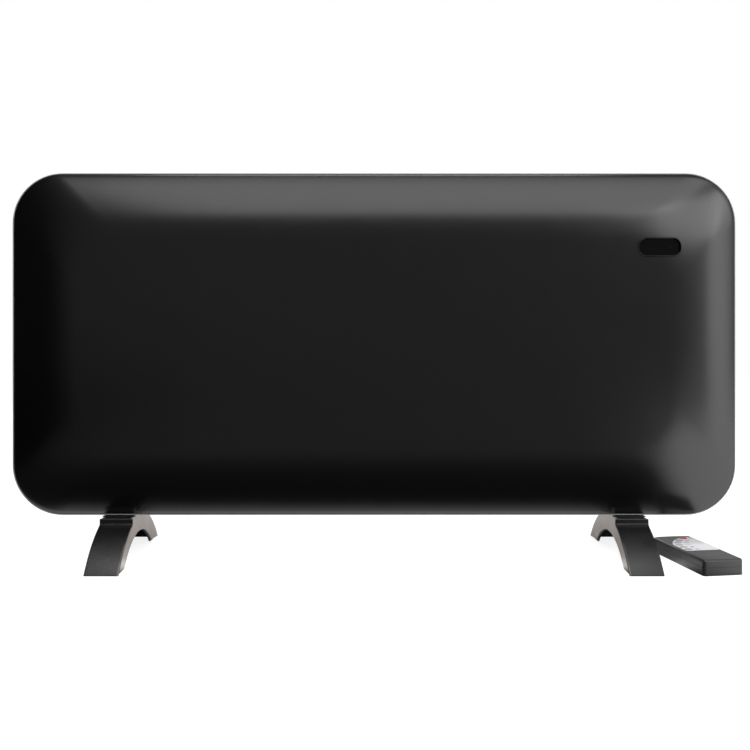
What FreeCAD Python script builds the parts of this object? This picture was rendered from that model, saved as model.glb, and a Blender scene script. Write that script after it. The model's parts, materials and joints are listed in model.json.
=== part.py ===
"""A free-standing panel heater: a domed glass front on a pressed steel case that stands on two arched feet,
and its hand remote, which lies on the floor beside the right foot.

Lengths are millimetres. The origin is on the floor, midway between the feet, with +X to the viewer's right,
+Y to the back and +Z up, so the glass looks along -Y.
"""
import FreeCAD, Part
import math
import os

import Sketcher

SIZES = [
    # The front, seen face on
    ("panel_width", 900.0, "bead to bead across the front"),
    ("panel_height", 425.5, "bead to bead up the front"),
    ("panel_corner", 62.3, "corner radius of the bead"),
    ("floor_gap", 55.5, "floor to the lower edge of the bead"),
    ("rim_front", 29.0, "front of the glass rim, ahead of the feet's centre"),
    # Glass and its bead
    ("glass_thickness", 5.0, "bent glass sheet"),
    ("dome_height", 18.0, "how far the flat middle stands ahead of the rim"),
    ("border_width", 85.0, "curved border round the flat middle"),
    ("flat_corner", 60.0, "corner radius of the flat middle"),
    ("rim_land", 3.0, "flat land on the back of the glass rim"),
    ("trim_wall", 1.3, "bead round the glass and the frame"),
    ("fit_gap", 0.2, "clearance round a piece that drops into another"),
    # Front frame
    ("frame_sheet", 1.5, "front frame plate"),
    ("frame_reach", 60.0, "front frame's opening inside the bead"),
    ("skirt_depth", 8.0, "folded flanges that the case slides over"),
    ("skirt_relief", 10.0, "flanges stop this short of the rounded corners"),
    # Rear case
    ("case_inset", 12.0, "case wall inside the bead"),
    ("case_back", 28.0, "back of the case, behind the feet's centre"),
    ("case_sheet", 1.0, "pressed steel sheet"),
    ("case_bevel", 12.0, "bevel round the back of the case"),
    ("field_rise", 3.0, "raised field in the case back"),
    ("field_in", 118.0, "raised field inside the case's sides"),
    ("field_down", 70.75, "raised field inside the case's top and bottom"),
    ("field_corner", 24.0, "corner radius of the raised field"),
    ("outlet_in", 128.0, "warm air outlet inside the case's sides"),
    ("outlet_depth", 23.0, "front to back size of the outlet"),
    ("outlet_back", 1.5, "outlet's middle, behind the feet's centre"),
    ("vane_pitch", 25.0, "spacing of the outlet slots"),
    ("vane_slot", 21.5, "width of an outlet slot"),
    ("vane_count", 24, "outlet slots"),
    ("grille_flange", 3.0, "outlet frame beyond its opening"),
    ("grille_sheet", 1.5, "outlet frame flange"),
    ("grille_depth", 7.0, "depth of the outlet vanes"),
    ("inlet_pitch", 37.0, "spacing of the inlet slots"),
    ("inlet_slot", 12.0, "width of an inlet slot"),
    ("inlet_count", 15, "inlet slots in the case bottom"),
    ("inlet_depth", 23.0, "front to back size of an inlet slot"),
    ("louvre_height", 22.0, "height of a slot in the case back"),
    ("louvre_above", 45.0, "middle of the back slots above the case bottom"),
    # Feet
    ("foot_in", 132.2, "middle of a foot inside the bead's side"),
    ("foot_width", 41.0, "side to side"),
    ("foot_length", 240.0, "front to back"),
    ("foot_arc", 171.8, "radius of the outer side of the legs"),
    ("collar_length", 86.0, "block at the top of the foot, front to back"),
    ("collar_height", 6.4, "block at the top of the foot, bottom to top"),
    ("collar_clear", 2.4, "top of the block below the bead"),
    ("neck_length", 56.0, "neck below the glass, front to back"),
    ("neck_clear", 1.0, "top of the neck below the bead"),
    ("tenon_clear", 0.8, "tenon inside the flat part of the case bottom"),
    ("lug_width", 12.0, "lug on the tenon, side to side"),
    ("lug_length", 5.0, "lug on the tenon, front to back"),
    ("lug_rise", 2.5, "lug above the tenon"),
    ("lug_margin", 2.0, "tenon left behind the lug"),
    ("arch_length", 164.0, "arch under the foot, at the floor"),
    ("arch_rise", 30.0, "arch above the floor"),
    ("foot_skin", 2.0, "wall of the legs, seen from the side"),
    ("foot_web", 2.0, "side wall behind a cheek"),
    ("foot_roof", 44.0, "top of the foot's hollow above the floor"),
    ("toe_bar", 8.0, "solid bar in a toe, front to back"),
    ("cheek_recess", 4.0, "depth of the side recess"),
    ("cheek_sheet", 2.5, "side cheek"),
    ("cheek_lip", 1.0, "moulding left ahead of the cheek, beside the block"),
    ("foot_bevel", 1.0, "bevel along the front leg"),
    ("pad_rise", 0.5, "rubber pad below the moulding"),
    ("pad_depth", 1.5, "pad pocket"),
    ("pad_length", 3.5, "rubber pad, front to back"),
    ("pad_margin", 1.0, "moulding left beside the pad"),
    ("foot_bolt", 6.0, "thread of the foot bolts"),
    ("bolt_flats", 10.0, "foot bolt head, across flats"),
    ("bolt_head", 4.0, "foot bolt head"),
    ("screw_gap", 0.3, "clearance hole round a screw"),
    ("socket_room", 2.0, "room for a socket round a foot bolt head"),
    ("foot_floor", 6.0, "moulding under the bolt head"),
    ("nut_side", 10.0, "square weld nut"),
    ("nut_height", 5.0, "weld nut"),
    ("case_screw", 3.5, "thread of the case screws"),
    ("case_screw_length", 8.0, "case screw under its head"),
    ("screw_flats", 5.5, "case screw head, across flats"),
    ("screw_rise", 200.0, "case screws above the case bottom"),
    ("screw_head", 2.0, "case screw head"),
    # Display behind the glass
    ("window_width", 54.0, "display bezel"),
    ("window_height", 24.0, "display bezel"),
    ("window_corner", 10.5, "display bezel corner"),
    ("window_in", 99.0, "display's middle inside the bead's right side"),
    ("window_down", 93.0, "display's middle below the bead's top"),
    ("bezel_wall", 1.8, "bezel seen round the window"),
    ("bezel_proud", 0.4, "bezel ahead of the glass"),
    ("bezel_depth", 9.0, "bezel behind the front of the glass"),
    ("window_sunk", 2.8, "flat window behind the flat middle of the glass"),
    ("window_sheet", 2.0, "smoked window"),
    ("board_sheet", 1.6, "circuit board"),
    ("board_margin", 4.0, "display board beyond the bezel"),
    ("receiver_out", 14.0, "receiver from the display's middle"),
    ("receiver_width", 6.0, "infrared receiver"),
    ("receiver_height", 7.0, "infrared receiver"),
    ("receiver_lens", 2.2, "radius of the receiver's lens"),
    ("digits_out", 6.0, "digits from the display's middle"),
    ("digits_width", 19.0, "two-digit module"),
    ("digits_height", 12.0, "two-digit module"),
    # Heating element in its shield
    ("shield_in", 108.0, "heat shield inside the case's sides"),
    ("shield_rise", 32.5, "heat shield above the case bottom"),
    ("shield_height", 230.0, "heat shield"),
    ("shield_sheet", 0.8, "aluminised sheet"),
    ("shield_front", 12.0, "heat shield ahead of the feet's centre"),
    ("element_rise", 82.5, "element above the case bottom"),
    ("element_back", 7.0, "element behind the feet's centre"),
    ("element_bar", 10.0, "square end of the element"),
    ("element_in", 30.0, "fins stop this far inside the heat shield"),
    ("fin_reach", 22.0, "element arm from the sheath's middle"),
    ("fin_sheet", 2.0, "element arm"),
    ("fin_lean", 28.0, "angle between an element arm and upright, degrees"),
    ("fin_cut", 3.0, "gap between two fingers of an arm"),
    ("fin_pitch", 80.0, "spacing of those gaps"),
    ("fin_cut_count", 7, "gaps along the element"),
    ("bush_barrel", 16.0, "square ceramic bush in the shield"),
    ("bush_flange", 22.0, "flange of the ceramic bush"),
    ("bush_length", 10.0, "ceramic bush"),
    ("tab_width", 6.3, "push-on tab"),
    ("tab_sheet", 0.8, "push-on tab"),
    ("tab_length", 12.0, "push-on tab"),
    ("cutout_side", 16.0, "thermal cut-out, up and down"),
    ("cutout_width", 18.0, "thermal cut-out, side to side"),
    ("cutout_height", 9.0, "thermal cut-out"),
    ("cutout_flange", 30.0, "thermal cut-out flange length"),
    # Electronics in the right end
    ("board_width", 76.0, "control board"),
    ("board_height", 130.0, "control board"),
    ("board_in", 54.0, "control board's middle inside the case's right side"),
    ("board_rise", 157.5, "control board's middle above the case bottom"),
    ("standoff_height", 4.0, "board above the case back"),
    ("standoff_side", 6.0, "board pillar"),
    ("relay_width", 15.5, "relay"),
    ("relay_length", 19.0, "relay"),
    ("relay_height", 15.0, "relay"),
    ("supply_side", 24.0, "board transformer"),
    ("supply_height", 18.0, "board transformer"),
    ("block_width", 50.0, "screw terminal block"),
    ("block_height", 14.0, "screw terminal block"),
    ("block_depth", 12.0, "screw terminal block"),
    ("block_ways", 5, "ways of the terminal block"),
    ("ribbon_width", 16.0, "flat cable"),
    ("ribbon_sheet", 0.8, "flat cable"),
    # Mains switch and cable inlet in the right wall
    ("switch_rise", 104.5, "mains switch above the case bottom"),
    ("switch_length", 21.0, "switch body"),
    ("switch_width", 13.0, "switch body"),
    ("switch_depth", 18.0, "switch body inside the case"),
    ("well_depth", 12.0, "rocker's well inside the case"),
    ("switch_flange", 2.0, "switch flange beyond the body"),
    ("switch_lip", 1.5, "switch flange"),
    ("rocker_slot", 17.8, "opening for the rocker, up and down"),
    ("rocker_length", 15.2, "rocker tip to tip"),
    ("rocker_width", 8.6, "rocker, front to back"),
    ("rocker_pivot", 4.0, "rocker pin inside the case wall"),
    ("rocker_pin", 2.4, "rocker pin diameter"),
    ("rocker_tilt", 9.0, "rocker lean when off, degrees"),
    ("running_gap", 0.05, "radial gap round a pin that turns"),
    ("inlet_rise", 66.5, "cable gland above the case bottom"),
    ("gland_flange", 20.0, "cable gland's square flange"),
    ("gland_barrel", 14.0, "cable gland's square body"),
    ("gland_bore", 7.4, "cable gland bore"),
    ("gland_lip", 2.5, "cable gland flange"),
    ("gland_depth", 12.0, "cable gland inside the case"),
    # Tip-over switch in the left end
    ("tip_in", 63.0, "tip switch inside the case's left side"),
    ("tip_rise", 50.5, "tip switch pin above the case bottom"),
    ("tip_back", 3.0, "tip switch pin behind the feet's centre"),
    ("tip_width", 24.0, "tip switch bracket"),
    ("tip_sheet", 2.0, "tip switch bracket"),
    ("tip_height", 20.0, "tip switch bracket"),
    ("tip_pin", 3.0, "tip switch pin diameter"),
    ("tip_hub", 8.0, "pendulum's square hub"),
    ("tip_arm", 22.0, "pin to the middle of the weight"),
    ("tip_weight", 11.0, "pendulum weight diameter"),
    ("tip_weight_length", 12.0, "pendulum weight"),
    ("sensor_side", 8.0, "room sensor clip"),
    ("sensor_height", 14.0, "room sensor"),
    # Wall bracket fixings in the case back
    ("bracket_span", 500.0, "wall bracket nuts, side to side"),
    ("bracket_rise", 100.0, "wall bracket nuts above the panel's middle"),
    ("bracket_bore", 4.2, "core of the bracket nut's thread"),
    ("bracket_hole", 5.2, "clearance hole for a bracket screw"),
    # Remote
    ("remote_width", 50.0, "remote"),
    ("remote_length", 141.0, "remote"),
    ("remote_height", 19.0, "remote"),
    ("remote_corner", 4.0, "remote corner radius"),
    ("remote_bow", 1.5, "bow of the remote's head"),
    ("remote_out", 78.0, "remote's middle beside the right foot's middle"),
    ("remote_ahead", 45.0, "remote's middle ahead of the feet's centre"),
    ("remote_turn", 10.0, "turn of the remote on the floor, degrees"),
    ("remote_split", 9.5, "parting line above the floor"),
    ("remote_wall", 2.0, "remote shells"),
    ("remote_bevel", 2.5, "bevel round the remote's face"),
    ("label_depth", 0.5, "label recess"),
    ("key_long", 9.3, "key across the remote"),
    ("key_short", 7.4, "key along the remote"),
    ("key_rise", 1.0, "key above the label"),
    ("key_travel", 0.8, "key travel"),
    ("key_gap", 0.3, "clearance round a key"),
    ("key_flange", 0.8, "rim that keeps a key in"),
    ("keypad_sheet", 1.0, "rubber keypad"),
    ("remote_board_sheet", 1.2, "remote circuit board"),
    ("cell_radius", 5.2, "dry cell"),
    ("cell_length", 44.5, "dry cell"),
    ("door_width", 34.0, "battery door"),
    ("door_sheet", 1.8, "battery door"),
    ("door_tongue", 1.5, "tongue along each side of the door"),
    ("emitter_width", 8.0, "infrared emitter, side to side"),
    ("emitter_height", 4.0, "infrared emitter, bottom to top"),
    ("emitter_length", 8.0, "infrared emitter"),
    ("hair", 1e-6, "two places this close are one place"),
    ("overrun", 1.0, "how far a cutting tool passes a face"),
]

BORDER_SHARES = (1, 0.8, 0.6, 0.4, 0.2, 0)
BEVEL_SHARE = 2 - math.sqrt(2)
SKIN_END_SHARE = 0.9
BUSH_FLANGE_SHARE = 1 / 3
WAY_SHARES = (0.25, 0.75)
ROCKER_SHARES = {
    "root": 0.6,
    "root_reach": 1 / 3,
    "waist": 0.2,
    "waist_reach": 0.95,
    "tip": 1.2,
    "dish": 0.9,
}
KEY_CORNER_SHARE = 0.3
KEYPAD_SHARES = {"head": 0.06, "foot": 0.65}
KEY_PLACE_SHARES = {
    "power_button": (0.686, 0.128),
    "timer_button": (0.456, 0.213),
    "mode_button": (0.298, 0.305),
    "clock_button": (0.216, 0.396),
    "warmer_button": (0.200, 0.487),
    "cooler_button": (0.196, 0.582),
}
LABEL_SHARES = {
    "right": 0.946,
    "left": 0.074,
    "top": 0.082,
    "bottom": 0.632,
    "shoulder": 0.742,
    "waist": 0.383,
    "shoulder_arc": 0.46,
    "waist_arc": 1.2,
}

doc = FreeCAD.newDocument("PanelHeater")
sheet = doc.addObject("Spreadsheet::Sheet", "sizes")


class Size:
    """A length with the sheet formula that it comes from."""

    def __init__(self, value, text):
        self.value = float(value)
        self.text = text

    def _with(self, other, sign, value):
        return Size(value, "(%s %s %s)" % (self.text, sign, sized(other).text))

    def __add__(self, other):
        return self._with(other, "+", self.value + sized(other).value)

    def __sub__(self, other):
        return self._with(other, "-", self.value - sized(other).value)

    def __mul__(self, other):
        return self._with(other, "*", self.value * sized(other).value)

    def __truediv__(self, other):
        return self._with(other, "/", self.value / sized(other).value)

    def __neg__(self):
        return Size(-self.value, "(0 - %s)" % self.text)

    def __rmul__(self, other):
        return self * other


def sized(number):
    """The number as a Size, which it may already be."""
    return number if isinstance(number, Size) else Size(number, repr(float(number)))


ZERO = sized(0)


class Named:
    """Every size of the sheet, by its alias."""


d = Named()
for row, (alias, value, meaning) in enumerate(SIZES, start=1):
    sheet.set("A%d" % row, alias)
    sheet.set("B%d" % row, str(value))
    sheet.set("C%d" % row, meaning)
    sheet.setAlias("B%d" % row, alias)
    setattr(d, alias, Size(value, "sizes.%s" % alias))
doc.recompute()

nodes = {}


def bind(thing, name, size):
    """Ties a property of a document object to its sheet formula."""
    thing.setExpression(name, sized(size).text)


def origin_part(body, role):
    """One of a body's own origin planes or axes."""
    return next(f for f in body.Origin.OriginFeatures if f.Role == role)


def new_body(label):
    body = doc.addObject("PartDesign::Body", label)
    body.Label = label
    return body


def new_sketch(body, role, lift=ZERO):
    """An empty sketch on a body's origin plane, lifted along that plane's normal."""
    sketch = body.newObject("Sketcher::SketchObject", body.Label + "_sketch")
    sketch.AttachmentSupport = [(origin_part(body, role), "")]
    sketch.MapMode = "FlatFace"
    bind(sketch, "AttachmentOffset.Base.z", lift)
    return sketch


def hold(sketch, kind, places, size):
    """A dimension of the sketch, tied to the sheet."""
    number = sketch.addConstraint(Sketcher.Constraint(kind, *places, sized(size).value))
    bind(sketch, "Constraints[%d]" % number, size)


def pin_point(sketch, shape, end, x, y):
    """Places one end of a sketch line or arc by its distances from the sketch's origin."""
    hold(sketch, "DistanceX", (-1, 1, shape, end), x)
    hold(sketch, "DistanceY", (-1, 1, shape, end), y)


def vec(x, y):
    return FreeCAD.Vector(sized(x).value, sized(y).value, 0)


def draw_outline(sketch, points, arcs=None):
    """A closed outline. arcs gives the radius of an edge by the number of its first point; a positive
    radius bulges to the right of the edge's direction."""
    arcs = arcs or {}
    places = [vec(x, y) for x, y in points]
    first = sketch.GeometryCount
    ends = []
    for i, start in enumerate(places):
        end = places[(i + 1) % len(places)]
        if i not in arcs:
            sketch.addGeometry(Part.LineSegment(start, end), False)
            ends.append((1, 2))
            continue
        radius = sized(arcs[i]).value
        half = (end - start) * 0.5
        side = FreeCAD.Vector(half.y, -half.x, 0).normalize()
        drop = math.sqrt(radius**2 - half.Length**2)
        middle = start + half - side * math.copysign(drop, radius)
        circle = Part.Circle(middle, FreeCAD.Vector(0, 0, 1), abs(radius))
        forward = radius > 0
        low, high = (start, end) if forward else (end, start)
        angles = [math.atan2((p - middle).y, (p - middle).x) for p in (low, high)]
        if angles[1] < angles[0]:
            angles[1] += 2 * math.pi
        sketch.addGeometry(Part.ArcOfCircle(circle, *angles), False)
        ends.append((1, 2) if forward else (2, 1))
    for i, (x, y) in enumerate(points):
        before = (i - 1) % len(points)
        joint = (first + before, ends[before][1], first + i, ends[i][0])
        sketch.addConstraint(Sketcher.Constraint("Coincident", *joint))
        pin_point(sketch, first + i, ends[i][0], x, y)
        if i in arcs:
            hold(sketch, "Radius", (first + i,), arcs[i] if sized(arcs[i]).value > 0 else -arcs[i])


def draw_box(sketch, low_x, low_y, high_x, high_y):
    draw_outline(sketch, [(low_x, low_y), (high_x, low_y), (high_x, high_y), (low_x, high_y)])


def draw_rounded(sketch, middle_x, middle_y, width, height, radius):
    """A rounded rectangle, run the same way round each time so that lofts don't twist."""
    left, right = middle_x - width / 2, middle_x + width / 2
    low, high = middle_y - height / 2, middle_y + height / 2
    points = [
        (left + radius, low),
        (right - radius, low),
        (right, low + radius),
        (right, high - radius),
        (right - radius, high),
        (left + radius, high),
        (left, high - radius),
        (left, low + radius),
    ]
    draw_outline(sketch, points, {1: radius, 3: radius, 5: radius, 7: radius})


def draw_circle(sketch, x, y, radius):
    shape = sketch.addGeometry(Part.Circle(vec(x, y), FreeCAD.Vector(0, 0, 1), sized(radius).value), False)
    pin_point(sketch, shape, 3, x, y)
    hold(sketch, "Radius", (shape,), radius)


def extrude(body, kind, sketch, length, back=False, both=False):
    """A pad or pocket of a sketch. back runs it against the sketch's normal."""
    feature = body.newObject("PartDesign::" + kind, body.Label + "_" + kind.lower())
    feature.Profile = sketch
    bind(feature, "Length", length)
    feature.Midplane = both
    feature.Reversed = back
    sketch.Visibility = False
    doc.recompute()
    return feature


def cut_checked(body, sketch, length, back=False, both=False):
    """A pocket that has to take something away."""
    before = body.Shape.Volume
    pocket = extrude(body, "Pocket", sketch, length, back, both)
    if body.Shape.Volume > before * (1 - d.hair.value**2):
        raise RuntimeError("a pocket of %s cuts nothing" % body.Label)
    return pocket


def repeat(body, feature, axis, pitch, count):
    """A row of copies of a feature, centred work is left to the first one's place."""
    pattern = body.newObject("PartDesign::LinearPattern", body.Label + "_row")
    pattern.Originals = [feature]
    pattern.Direction = (origin_part(body, axis), [""])
    pattern.Mode = "Spacing"
    bind(pattern, "Offset", pitch)
    bind(pattern, "Occurrences", count)
    body.Tip = pattern
    doc.recompute()
    return pattern


def dress(body, kind, names, size):
    """A fillet or chamfer on named edges of the body's tip."""
    feature = body.newObject("PartDesign::" + kind, body.Label + "_" + kind.lower())
    feature.Base = (body.Tip if body.Tip != feature else feature.BaseFeature, names)
    bind(feature, "Radius" if kind == "Fillet" else "Size", size)
    doc.recompute()
    return feature


def edges_where(body, test):
    return ["Edge%d" % i for i, e in enumerate(body.Shape.Edges, start=1) if test(e)]


def block(low, high):
    """A box between two corners."""
    thing = doc.addObject("Part::Box", "block")
    for name, a, b in zip(("Length", "Width", "Height"), low, high):
        bind(thing, name, sized(b) - a)
    for name, a in zip("xyz", low):
        bind(thing, "Placement.Base." + name, a)
    return thing


TURNS = {
    "X": FreeCAD.Rotation(FreeCAD.Vector(0, 1, 0), 90),
    "Y": FreeCAD.Rotation(FreeCAD.Vector(1, 0, 0), -90),
    "Z": FreeCAD.Rotation(),
}


def rod(axis, start, radius, length):
    """A cylinder from its start point along +X, +Y or +Z."""
    thing = doc.addObject("Part::Cylinder", "rod")
    bind(thing, "Radius", radius)
    bind(thing, "Height", length)
    thing.Placement = FreeCAD.Placement(FreeCAD.Vector(), TURNS[axis])
    for name, a in zip("xyz", start):
        bind(thing, "Placement.Base." + name, a)
    return thing


def hexagon(axis, start, flats, length):
    """A six-sided head from its start point along +X, +Y or +Z, by its size across flats."""
    thing = doc.addObject("Part::Prism", "hexagon")
    thing.Polygon = 6
    bind(thing, "Circumradius", flats / math.sqrt(3))
    bind(thing, "Height", length)
    thing.Placement = FreeCAD.Placement(FreeCAD.Vector(), TURNS[axis])
    for name, a in zip("xyz", start):
        bind(thing, "Placement.Base." + name, a)
    return thing


def fuse(pieces, label="joined"):
    thing = doc.addObject("Part::MultiFuse", label)
    thing.Shapes = pieces
    thing.Label = label
    return thing


def cut(base, tools, label="cut"):
    thing = doc.addObject("Part::Cut", label)
    thing.Base = base
    thing.Tool = tools[0] if len(tools) == 1 else fuse(tools)
    thing.Label = label
    return thing


def group(pieces, label):
    """Separate solids under one name."""
    thing = doc.addObject("Part::Compound", label)
    thing.Links = pieces
    thing.Label = label
    return thing


def keep(thing, label=None):
    """Files a finished piece under its name."""
    nodes[label or thing.Label] = thing
    return thing


# Places that several pieces share
panel_up = d.floor_gap + d.panel_height / 2
rim_back = d.rim_front - d.glass_thickness
flat_front = d.rim_front + d.dome_height
frame_back = rim_back - d.frame_sheet
case_low = d.floor_gap + d.case_inset
case_high = d.floor_gap + d.panel_height - d.case_inset
case_right = d.panel_width / 2 - d.case_inset
case_inside = d.case_back - d.case_sheet
case_middle = (case_low + case_high) / 2
field_back = d.case_back + d.field_rise
skirt_out = d.case_inset + d.case_sheet + d.fit_gap
window_right = d.panel_width / 2 - d.window_in
window_up = d.floor_gap + d.panel_height - d.window_down
bezel_back = flat_front - d.bezel_depth
window_back = flat_front - d.window_sunk - d.window_sheet
foot_right = d.panel_width / 2 - d.foot_in
collar_top = d.floor_gap - d.collar_clear
collar_low = collar_top - d.collar_height
neck_top = d.floor_gap - d.neck_clear
tenon_front = frame_back - d.tenon_clear
tenon_back = d.case_back - d.case_bevel - d.tenon_clear
lug_back = tenon_back - d.lug_margin
shield_right = case_right - d.shield_in
shield_low = case_low + d.shield_rise
element_right = shield_right - d.element_in
element_up = case_low + d.element_rise
board_right = case_right - d.board_in
board_up = case_low + d.board_rise
switch_up = case_low + d.switch_rise
inlet_up = case_low + d.inlet_rise
bracket_up = panel_up + d.bracket_rise
screw_up = case_low + d.screw_rise


def ring_size(inset):
    """Width, height and corner radius of the front's outline, drawn in by an inset."""
    return d.panel_width - 2 * inset, d.panel_height - 2 * inset, d.panel_corner - inset


def draw_ring(sketch, inset):
    draw_rounded(sketch, ZERO, panel_up, *ring_size(inset))


def dome_sections(body, rim_inset, rim_at, rise):
    """The sketches from the rim in to the flat middle: the border falls away as the square of its width."""
    rim_width, rim_height, rim_corner = ring_size(rim_inset)
    border = d.border_width - rim_inset
    sections = []
    for share in BORDER_SHARES:
        sketch = new_sketch(body, "XZ_Plane", rim_at + rise * (1 - share**2))
        inward = border * (1 - share)
        corner = d.flat_corner + (rim_corner - d.flat_corner) * share
        draw_rounded(sketch, ZERO, panel_up, rim_width - 2 * inward, rim_height - 2 * inward, corner)
        sections.append(sketch)
    return sections


def loft(body, kind, sections):
    feature = body.newObject("PartDesign::" + kind, body.Label + "_" + kind.lower())
    feature.Profile = sections[0]
    feature.Sections = sections[1:]
    feature.Ruled = True
    doc.recompute()
    return feature


def dome_form(label, inset, ahead):
    """The front's outer surface as a solid that reaches back to the rim's back, moved ahead by a little.
    The loft is ruled: straight across each narrow band of the border, as the pressing tool is."""
    body = new_body(label)
    sections = dome_sections(body, inset, d.rim_front + ahead, d.dome_height)
    loft(body, "AdditiveLoft", sections)
    rim = new_sketch(body, "XZ_Plane", d.rim_front + ahead)
    draw_ring(rim, inset)
    extrude(body, "Pad", rim, d.glass_thickness + ahead, back=True)
    return body


def make_front_glass():
    body = dome_form("front_glass", d.trim_wall + d.fit_gap, ZERO)
    hollow = dome_sections(body, d.trim_wall + d.fit_gap + d.rim_land, rim_back, d.dome_height)
    loft(body, "SubtractiveLoft", hollow)
    hole = new_sketch(body, "XZ_Plane", flat_front + d.overrun)
    draw_window(hole, -d.fit_gap)
    cut_checked(body, hole, flat_front)
    keep(body)


def draw_window(sketch, inset):
    """The display's outline, drawn in by an inset."""
    width, height = d.window_width - 2 * inset, d.window_height - 2 * inset
    draw_rounded(sketch, window_right, window_up, width, height, d.window_corner - inset)


def make_edge_trim():
    body = new_body("edge_trim")
    ring = new_sketch(body, "XZ_Plane", d.rim_front)
    draw_ring(ring, ZERO)
    draw_ring(ring, d.trim_wall)
    extrude(body, "Pad", ring, d.glass_thickness + d.frame_sheet, back=True)
    keep(body)


def make_front_frame():
    body = new_body("front_frame")
    plate = new_sketch(body, "XZ_Plane", rim_back)
    draw_ring(plate, d.trim_wall + d.fit_gap)
    wide, high = d.panel_width / 2 - d.frame_reach, d.panel_height / 2 - d.frame_reach
    draw_box(plate, -wide, panel_up - high, wide, panel_up + high)
    extrude(body, "Pad", plate, d.frame_sheet, back=True)
    flanges = new_sketch(body, "XZ_Plane", frame_back)
    draw_flanges(flanges)
    extrude(body, "Pad", flanges, d.skirt_depth, back=True)
    holes = new_sketch(body, "YZ_Plane", ZERO)
    draw_circle(holes, screw_depth(), screw_up, d.case_screw / 2 + d.screw_gap / 2)
    cut_checked(body, holes, d.panel_width, both=True)
    keep(body)


def draw_flanges(sketch):
    """The plate's four folded flanges, one along each straight side, just inside the case's walls."""
    wide, high = d.panel_width / 2, d.panel_height / 2
    stop = d.panel_corner + d.skirt_relief
    outer, inner = skirt_out, skirt_out + d.case_sheet
    for sign in (-1, 1):
        low, far = sorted((sign * (wide - outer), sign * (wide - inner)), key=lambda size: size.value)
        draw_box(sketch, low, panel_up - high + stop, far, panel_up + high - stop)
        low, far = sorted((sign * (high - outer), sign * (high - inner)), key=lambda size: size.value)
        draw_box(sketch, -wide + stop, panel_up + low, wide - stop, panel_up + far)


def screw_depth():
    """Where the case screws sit, from front to back: half way along the side flanges."""
    return -(frame_back - d.skirt_depth / 2)


def make_rear_casing():
    body = new_body("rear_casing")
    width, height, corner = ring_size(d.case_inset)
    depth = frame_back + d.case_back
    shell = new_sketch(body, "XZ_Plane", frame_back)
    draw_ring(shell, d.case_inset)
    extrude(body, "Pad", shell, depth, back=True)
    back = d.case_back.value
    rear = edges_where(body, lambda e: all(abs(v.Y - back) < d.hair.value for v in e.Vertexes))
    dress(body, "Chamfer", rear, d.case_bevel)
    field = new_sketch(body, "XZ_Plane", -d.case_back)
    draw_field(field, ZERO)
    extrude(body, "Pad", field, d.field_rise, back=True)
    hollow(body, depth)
    casing_openings(body)
    keep(body)


def hollow(body, depth):
    """Opens the case from the front, one sheet in from its outside."""
    room = new_body("case_room")
    sketch = new_sketch(room, "XZ_Plane", frame_back + d.overrun)
    draw_ring(sketch, d.case_inset + d.case_sheet)
    extrude(room, "Pad", sketch, depth - d.case_sheet + d.overrun, back=True)
    inner = case_inside.value
    rear = edges_where(room, lambda e: all(abs(v.Y - inner) < d.hair.value for v in e.Vertexes))
    dress(room, "Chamfer", rear, d.case_bevel - d.case_sheet * BEVEL_SHARE)
    field = new_sketch(room, "XZ_Plane", -case_inside)
    draw_field(field, d.case_sheet)
    extrude(room, "Pad", field, d.field_rise, back=True)
    boolean = body.newObject("PartDesign::Boolean", "rear_casing_hollow")
    boolean.setObjects([room])
    boolean.Type = "Cut"
    doc.recompute()


def draw_field(sketch, inset):
    """The raised field in the case back, drawn in by an inset."""
    width = 2 * (case_right - d.field_in - inset)
    height = case_high - case_low - 2 * (d.field_down + inset)
    draw_rounded(sketch, ZERO, case_middle, width, height, d.field_corner - inset)


def casing_openings(body):
    outlet = new_sketch(body, "XY_Plane", case_high + d.overrun)
    half, back = case_right - d.outlet_in, d.outlet_back
    draw_box(outlet, -half, back - d.outlet_depth / 2, half, back + d.outlet_depth / 2)
    cut_checked(body, outlet, 2 * d.overrun + d.case_sheet)
    row = (d.inlet_count - 1) * d.inlet_pitch / 2
    slot = new_sketch(body, "XY_Plane", case_low - d.overrun)
    edge, deep = d.inlet_slot / 2, d.inlet_depth / 2
    draw_box(slot, -row - edge, back - deep, -row + edge, back + deep)
    first = cut_checked(body, slot, 2 * d.overrun + d.case_sheet, back=True)
    repeat(body, first, "X_Axis", d.inlet_pitch, d.inlet_count)
    louvre = new_sketch(body, "XZ_Plane", -d.case_back - d.overrun)
    up, tall = case_low + d.louvre_above, d.louvre_height / 2
    draw_box(louvre, -row - edge, up - tall, -row + edge, up + tall)
    first = cut_checked(body, louvre, 2 * d.overrun + d.case_sheet, back=True)
    repeat(body, first, "X_Axis", d.inlet_pitch, d.inlet_count)
    feet = new_sketch(body, "XY_Plane", case_low - d.overrun)
    for side in (-1, 1):
        draw_circle(feet, foot_right * side, ZERO, d.foot_bolt / 2 + d.screw_gap)
        draw_lug(feet, foot_right * side, d.fit_gap)
    cut_checked(body, feet, 2 * d.overrun + d.case_sheet, back=True)
    nuts = new_sketch(body, "XZ_Plane", -field_back - d.overrun)
    for side in (-1, 1):
        draw_circle(nuts, d.bracket_span / 2 * side, bracket_up, d.bracket_hole / 2)
    cut_checked(body, nuts, 2 * d.overrun + d.case_sheet, back=True)
    side_wall_openings(body)


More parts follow.
